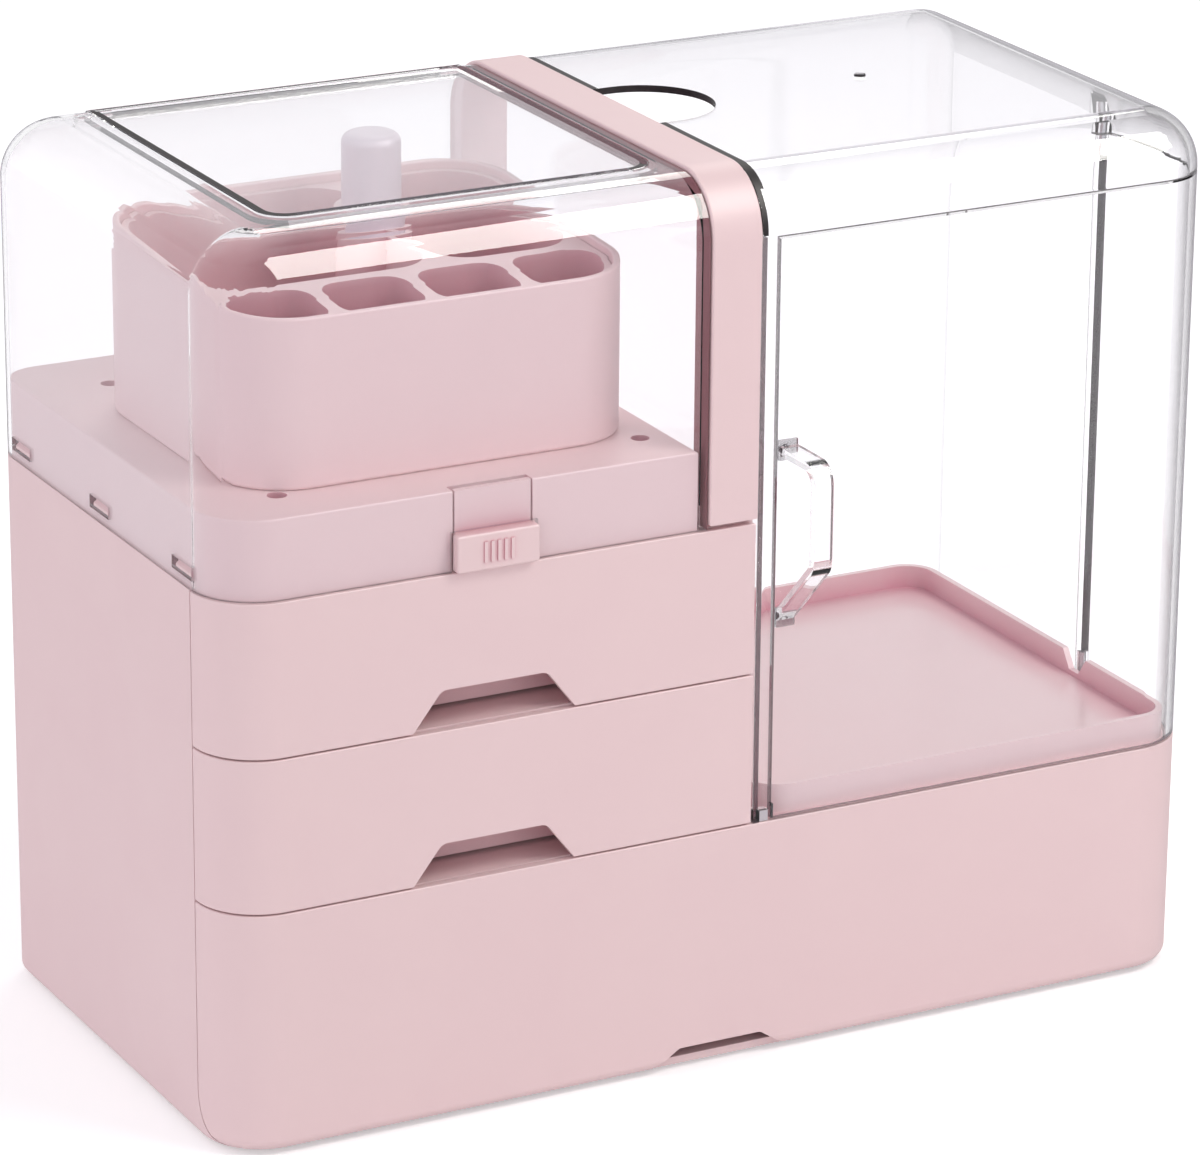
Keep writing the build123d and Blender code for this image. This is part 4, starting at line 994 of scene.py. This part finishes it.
class ORGANIZER_OT_materials(bpy.types.Operator):
    """Build the shared shader groups and the materials."""

    bl_idname = "organizer.materials"
    bl_label = "Materials"

    def execute(self, context):
        finish = context.scene.organizer_finish
        reach = finish.hollow_shade_reach
        moulded_finish_and_shade_group()
        handling_marks_group()
        # Each moulding gets painted shade in its hollows.
        moulded_plastic("satin_pink", finish.pink, finish.pink_deep, finish.hollow_shade, reach)
        # The tray gets painted shade along its rim.
        moulded_plastic(
            "tray_pink", finish.pink, finish.pink_deep, finish.rim_shade, finish.rim_shade_reach,
            gloss=(0.16, 0.24), shine=0.5,
        )
        moulded_plastic(
            # The lift post's hollows get painted shade in deep pink.
            "post_pale", finish.pale, finish.pale, finish.pink_deep, reach, gloss=(0.28, 0.34),
        )
        moulded_plastic(
            "foot_rubber", finish.rubber, finish.rubber, finish.rubber, reach, gloss=(0.6, 0.75),
        )
        clear_plastic("clear_styrene", finish.slant_shade, slant_from=0.70, slant_to=0.92)
        # Rounded corners of the clear pieces, with painted dark shade where they turn away.
        clear_plastic("clear_corner", finish.bend_shade, slant_from=0.70, slant_to=0.88)
        clear_plastic("clear_bend", finish.bend_shade, slant_from=0.20, slant_to=0.92)
        # The bay's top rounding starts with a line of painted shade.
        clear_plastic(
            "clear_line", finish.line_shade, slant_from=0.0, slant_to=0.6, index=ROUNDING_INDEX,
        )
        clear_plastic(
            "clear_round", finish.slant_shade, slant_from=0.92, slant_to=1.0, index=ROUNDING_INDEX,
        )
        # Painted shade in the clear plastic's cut edges and dark margins.
        clear_edge("faint_edge", finish.edge, alpha=0.3)
        clear_edge("mauve_edge", finish.edge, alpha=0.75)
        clear_edge("dark_edge", finish.edge_dark, alpha=1.0, gloss=(0.5, 0.65))
        clear_edge("band_edge", finish.band_side, alpha=1.0, gloss=(0.3, 0.4))
        metal("drawn_steel", finish.steel, clean=0.22, marked=0.4)
        metal("plated_magnet", finish.plating, clean=0.3, marked=0.45)
        return {"FINISHED"}


class ORGANIZER_OT_mouldings(bpy.types.Operator):
    """Finish the opaque mouldings: casing, shelf, drawers, deck, band, tray and cup."""

    bl_idname = "organizer.mouldings"
    bl_label = "Mouldings"

    def execute(self, context):
        finish_nodes([
            "casing", "tower_shelf", "upper_drawer_box", "upper_drawer_front",
            "lower_drawer_box", "lower_drawer_front", "wide_drawer_box", "wide_drawer_front",
            "deck", "latch_button", "handle_band", "brush_cup", "cup_insert",
        ], "satin_pink")
        finish_nodes(["bottle_tray"], "tray_pink")
        finish_nodes(["lift_post"], "post_pale")
        return {"FINISHED"}


class ORGANIZER_OT_metalwork(bpy.types.Operator):
    """Finish the hinge pins, striker plate and magnet."""

    bl_idname = "organizer.metalwork"
    bl_label = "Metalwork"

    def execute(self, context):
        finish_nodes(["lid_hinge_pins", "door_hinge_pins", "striker_plate"], "drawn_steel")
        finish_nodes(["catch_magnet"], "plated_magnet")
        return {"FINISHED"}


class ORGANIZER_OT_screws(bpy.types.Operator):
    """Make the threaded screws that hold the deck and the carrying band."""

    bl_idname = "organizer.screws"
    bl_label = "Screws"

    def execute(self, context):
        sizes = context.scene.organizer_sizes
        tree = screw_tree()
        for name, head, shank, turned in (
            ("deck_screws", sizes.deck_screw_head, sizes.deck_screw_shank, False),
            ("band_screws", sizes.band_screw_head, sizes.band_screw_shank, True),
        ):
            boxes = solid_boxes(name)
            low, high = boxes[0]
            places = [
                ((a.x + b.x) / 2, (a.y + b.y) / 2, a.z + head if turned else b.z - head)
                for a, b in boxes
            ]
            grown_piece(f"{name}_threaded", tree, places, {
                "Head radius": (high.x - low.x) / 2, "Head height": head,
                "Thread radius": shank, "Length": high.z - low.z - head,
                "Pitch": sizes.screw_pitch, "Turn": math.pi if turned else 0.0,
                "Material": bpy.data.materials["drawn_steel"],
            }, "housing", name)
        return {"FINISHED"}


class ORGANIZER_OT_foot_pads(bpy.types.Operator):
    """Make the ringed rubber pads under the casing."""

    bl_idname = "organizer.foot_pads"
    bl_label = "Foot pads"

    def execute(self, context):
        boxes = solid_boxes("foot_pads")
        low, high = boxes[0]
        places = [((a.x + b.x) / 2, (a.y + b.y) / 2, a.z) for a, b in boxes]
        grown_piece("foot_pads_ringed", foot_pad_tree(), places, {
            "Radius": (high.x - low.x) / 2, "Height": high.z - low.z,
            "Rings": context.scene.organizer_sizes.pad_rings,
            "Material": bpy.data.materials["foot_rubber"],
        }, "housing", "foot_pads")
        return {"FINISHED"}


class ORGANIZER_OT_latch_spring(bpy.types.Operator):
    """Wind the latch's spring."""

    bl_idname = "organizer.latch_spring"
    bl_label = "Latch spring"

    def execute(self, context):
        sizes = context.scene.organizer_sizes
        low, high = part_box("latch_spring")
        wire = sizes.spring_wire
        place = ((low.x + high.x) / 2, low.y + wire, (low.z + high.z) / 2)
        grown_piece("latch_spring_wound", spring_tree(), [place], {
            "Radius": (high.x - low.x) / 2 - wire, "Wire radius": wire,
            "Turns": sizes.spring_turns, "Length": high.y - low.y - 2 * wire,
            "Material": bpy.data.materials["drawn_steel"],
        }, "latch", "latch_spring")
        return {"FINISHED"}


class ORGANIZER_OT_clear_covers(bpy.types.Operator):
    """Dress the clear cover, its lid, the bay's shell, the door and its pull handle."""

    bl_idname = "organizer.clear_covers"
    bl_label = "Clear covers"

    def execute(self, context):
        sizes = context.scene.organizer_sizes
        lid_low, lid_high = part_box("lid")
        front_y = lid_low.y + FRONT_STRIP * sizes.lid_margin
        cover_low, cover_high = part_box("clear_cover")
        guide_y, guide_z = cover_low.y + sizes.light_guide, cover_high.z - sizes.light_guide
        shell_low, shell_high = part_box("bay_shell")
        narrow_x = shell_low.x + NARROW_MARGIN * sizes.dark_margin
        margin_x = shell_low.x + sizes.dark_margin
        margin_z = shell_high.z - sizes.top_round / 3

        def lid_finish(normal, centre, is_edge):
            # Painted shade: the lid's cut edges and the margin round its top are dark, darkest by
            # the rear left and front right corners.
            rear_left = (centre.x < lid_low.x + sizes.corner_reach
                         and centre.y < lid_high.y - sizes.corner_reach)
            at_front = centre.y < front_y
            if is_edge and (rear_left or (at_front and centre.x > lid_high.x - sizes.corner_reach)):
                return "dark_edge"
            return "mauve_edge" if is_edge and at_front else None

        def cover_finish(normal, centre, is_edge):
            # Painted shade: the cover's free edge beside the band takes the band's shaded colour.
            beside_band = normal.x > LOOKS_RIGHT and centre.x > lid_high.x + sizes.lid_margin
            if beside_band and (centre.y < guide_y or centre.z > guide_z):
                return "band_edge"
            # Painted shade: the cut edges near the lid's left side are dark.
            near_lid = abs(centre.x - lid_low.x) < sizes.corner_reach and centre.z > lid_low.z
            return "dark_edge" if is_edge and near_lid and normal.x > LEANS else None

        def shell_finish(normal, centre, is_edge):
            # Painted shade: the shell's free edge, a margin of its top and its cut edges by the
            # hinge are dark.
            on_top = centre.z > shell_high.z - sizes.top_round
            in_margin = centre.x < (margin_x if centre.z > margin_z else narrow_x)
            stands = is_edge and abs(normal.z) < UPRIGHT and normal.y < LEANS
            if on_top and (in_margin or stands):
                return "dark_edge"
            if is_edge and not on_top:
                by_hinge = centre.x > shell_high.x - sizes.hinge_side
                return "dark_edge" if by_hinge else "mauve_edge"
            # Painted shade: the line where the top starts to round over.
            starts_round = TOP_LINE[0] < normal.z < TOP_LINE[1]
            return "clear_line" if starts_round and abs(normal.x) < SIDE_CORNER else None

        def door_finish(normal, centre, is_edge):
            # Painted shade: the door's cut edges are mauve.
            return "mauve_edge" if is_edge and normal.z < UPRIGHT else None

        clear_copy("clear_cover", "housing", cover_finish,
                   cuts=(("y", guide_y), ("z", guide_z)))
        clear_copy("lid", "lid", lid_finish, top_margin=sizes.lid_margin)
        clear_copy("bay_shell", "housing", shell_finish,
                   cuts=(("x", narrow_x), ("x", margin_x)), side_bend="clear_bend")
        clear_copy("door", "door", door_finish, side_bend="clear_bend")
        clear_copy("door_handle", "door")
        return {"FINISHED"}


class ORGANIZER_OT_stage(bpy.types.Operator):
    """Set the pale floor, the daylight, the softboxes and the camera."""

    bl_idname = "organizer.stage"
    bl_label = "Stage"

    def execute(self, context):
        studio = context.scene.organizer_studio
        context.scene.view_settings.view_transform = "Standard"
        floor_material()
        add_floor()
        set_daylight(studio.daylight, solid_colour(studio.daylight_colour))
        key = add_softbox("key_softbox", azimuth=37.0, elevation=47.0, size=(0.6, 0.6),
                          radiance=studio.key_radiance)
        key.visible_glossy = False
        gleam = add_softbox("gleam_softbox", azimuth=39.0, elevation=47.0, size=(1.0, 0.92),
                            radiance=studio.gleam_radiance)
        gleam.visible_diffuse = False
        add_softbox("back_softbox", azimuth=145.0, elevation=42.0, size=(0.5, 0.5),
                    radiance=studio.back_radiance)
        add_camera(studio)
        return {"FINISHED"}


class ORGANIZER_PT_panel(bpy.types.Panel):
    """Lists the organizer's operators and properties."""

    bl_idname = "ORGANIZER_PT_panel"
    bl_label = "Makeup organizer"
    bl_space_type = "VIEW_3D"
    bl_region_type = "UI"
    bl_category = "Organizer"

    def draw(self, context):
        for group in (context.scene.organizer_finish, context.scene.organizer_sizes,
                      context.scene.organizer_studio):
            column = self.layout.column(align=True)
            for key in group.bl_rna.properties.keys():
                if key not in {"rna_type", "name"}:
                    column.prop(group, key)
        for operator in OPERATORS:
            self.layout.operator(operator.bl_idname)


PROPERTIES = (OrganizerFinish, OrganizerSizes, OrganizerStudio)
OPERATORS = (
    ORGANIZER_OT_materials, ORGANIZER_OT_mouldings, ORGANIZER_OT_metalwork,
    ORGANIZER_OT_screws, ORGANIZER_OT_foot_pads, ORGANIZER_OT_latch_spring,
    ORGANIZER_OT_clear_covers, ORGANIZER_OT_stage,
)


def register():
    for item in (*PROPERTIES, *OPERATORS, ORGANIZER_PT_panel):
        bpy.utils.register_class(item)
    bpy.types.Scene.organizer_finish = PointerProperty(type=OrganizerFinish)
    bpy.types.Scene.organizer_sizes = PointerProperty(type=OrganizerSizes)
    bpy.types.Scene.organizer_studio = PointerProperty(type=OrganizerStudio)


def unregister():
    del bpy.types.Scene.organizer_studio
    del bpy.types.Scene.organizer_sizes
    del bpy.types.Scene.organizer_finish
    for item in reversed((*PROPERTIES, *OPERATORS, ORGANIZER_PT_panel)):
        bpy.utils.unregister_class(item)


def main():
    """Builds the dressed organizer and its studio."""
    register()
    bpy.ops.organizer.materials()
    bpy.ops.organizer.mouldings()
    bpy.ops.organizer.metalwork()
    bpy.ops.organizer.screws()
    bpy.ops.organizer.foot_pads()
    bpy.ops.organizer.latch_spring()
    bpy.ops.organizer.clear_covers()
    bpy.ops.organizer.stage()


if __name__ == "__main__":
    main()
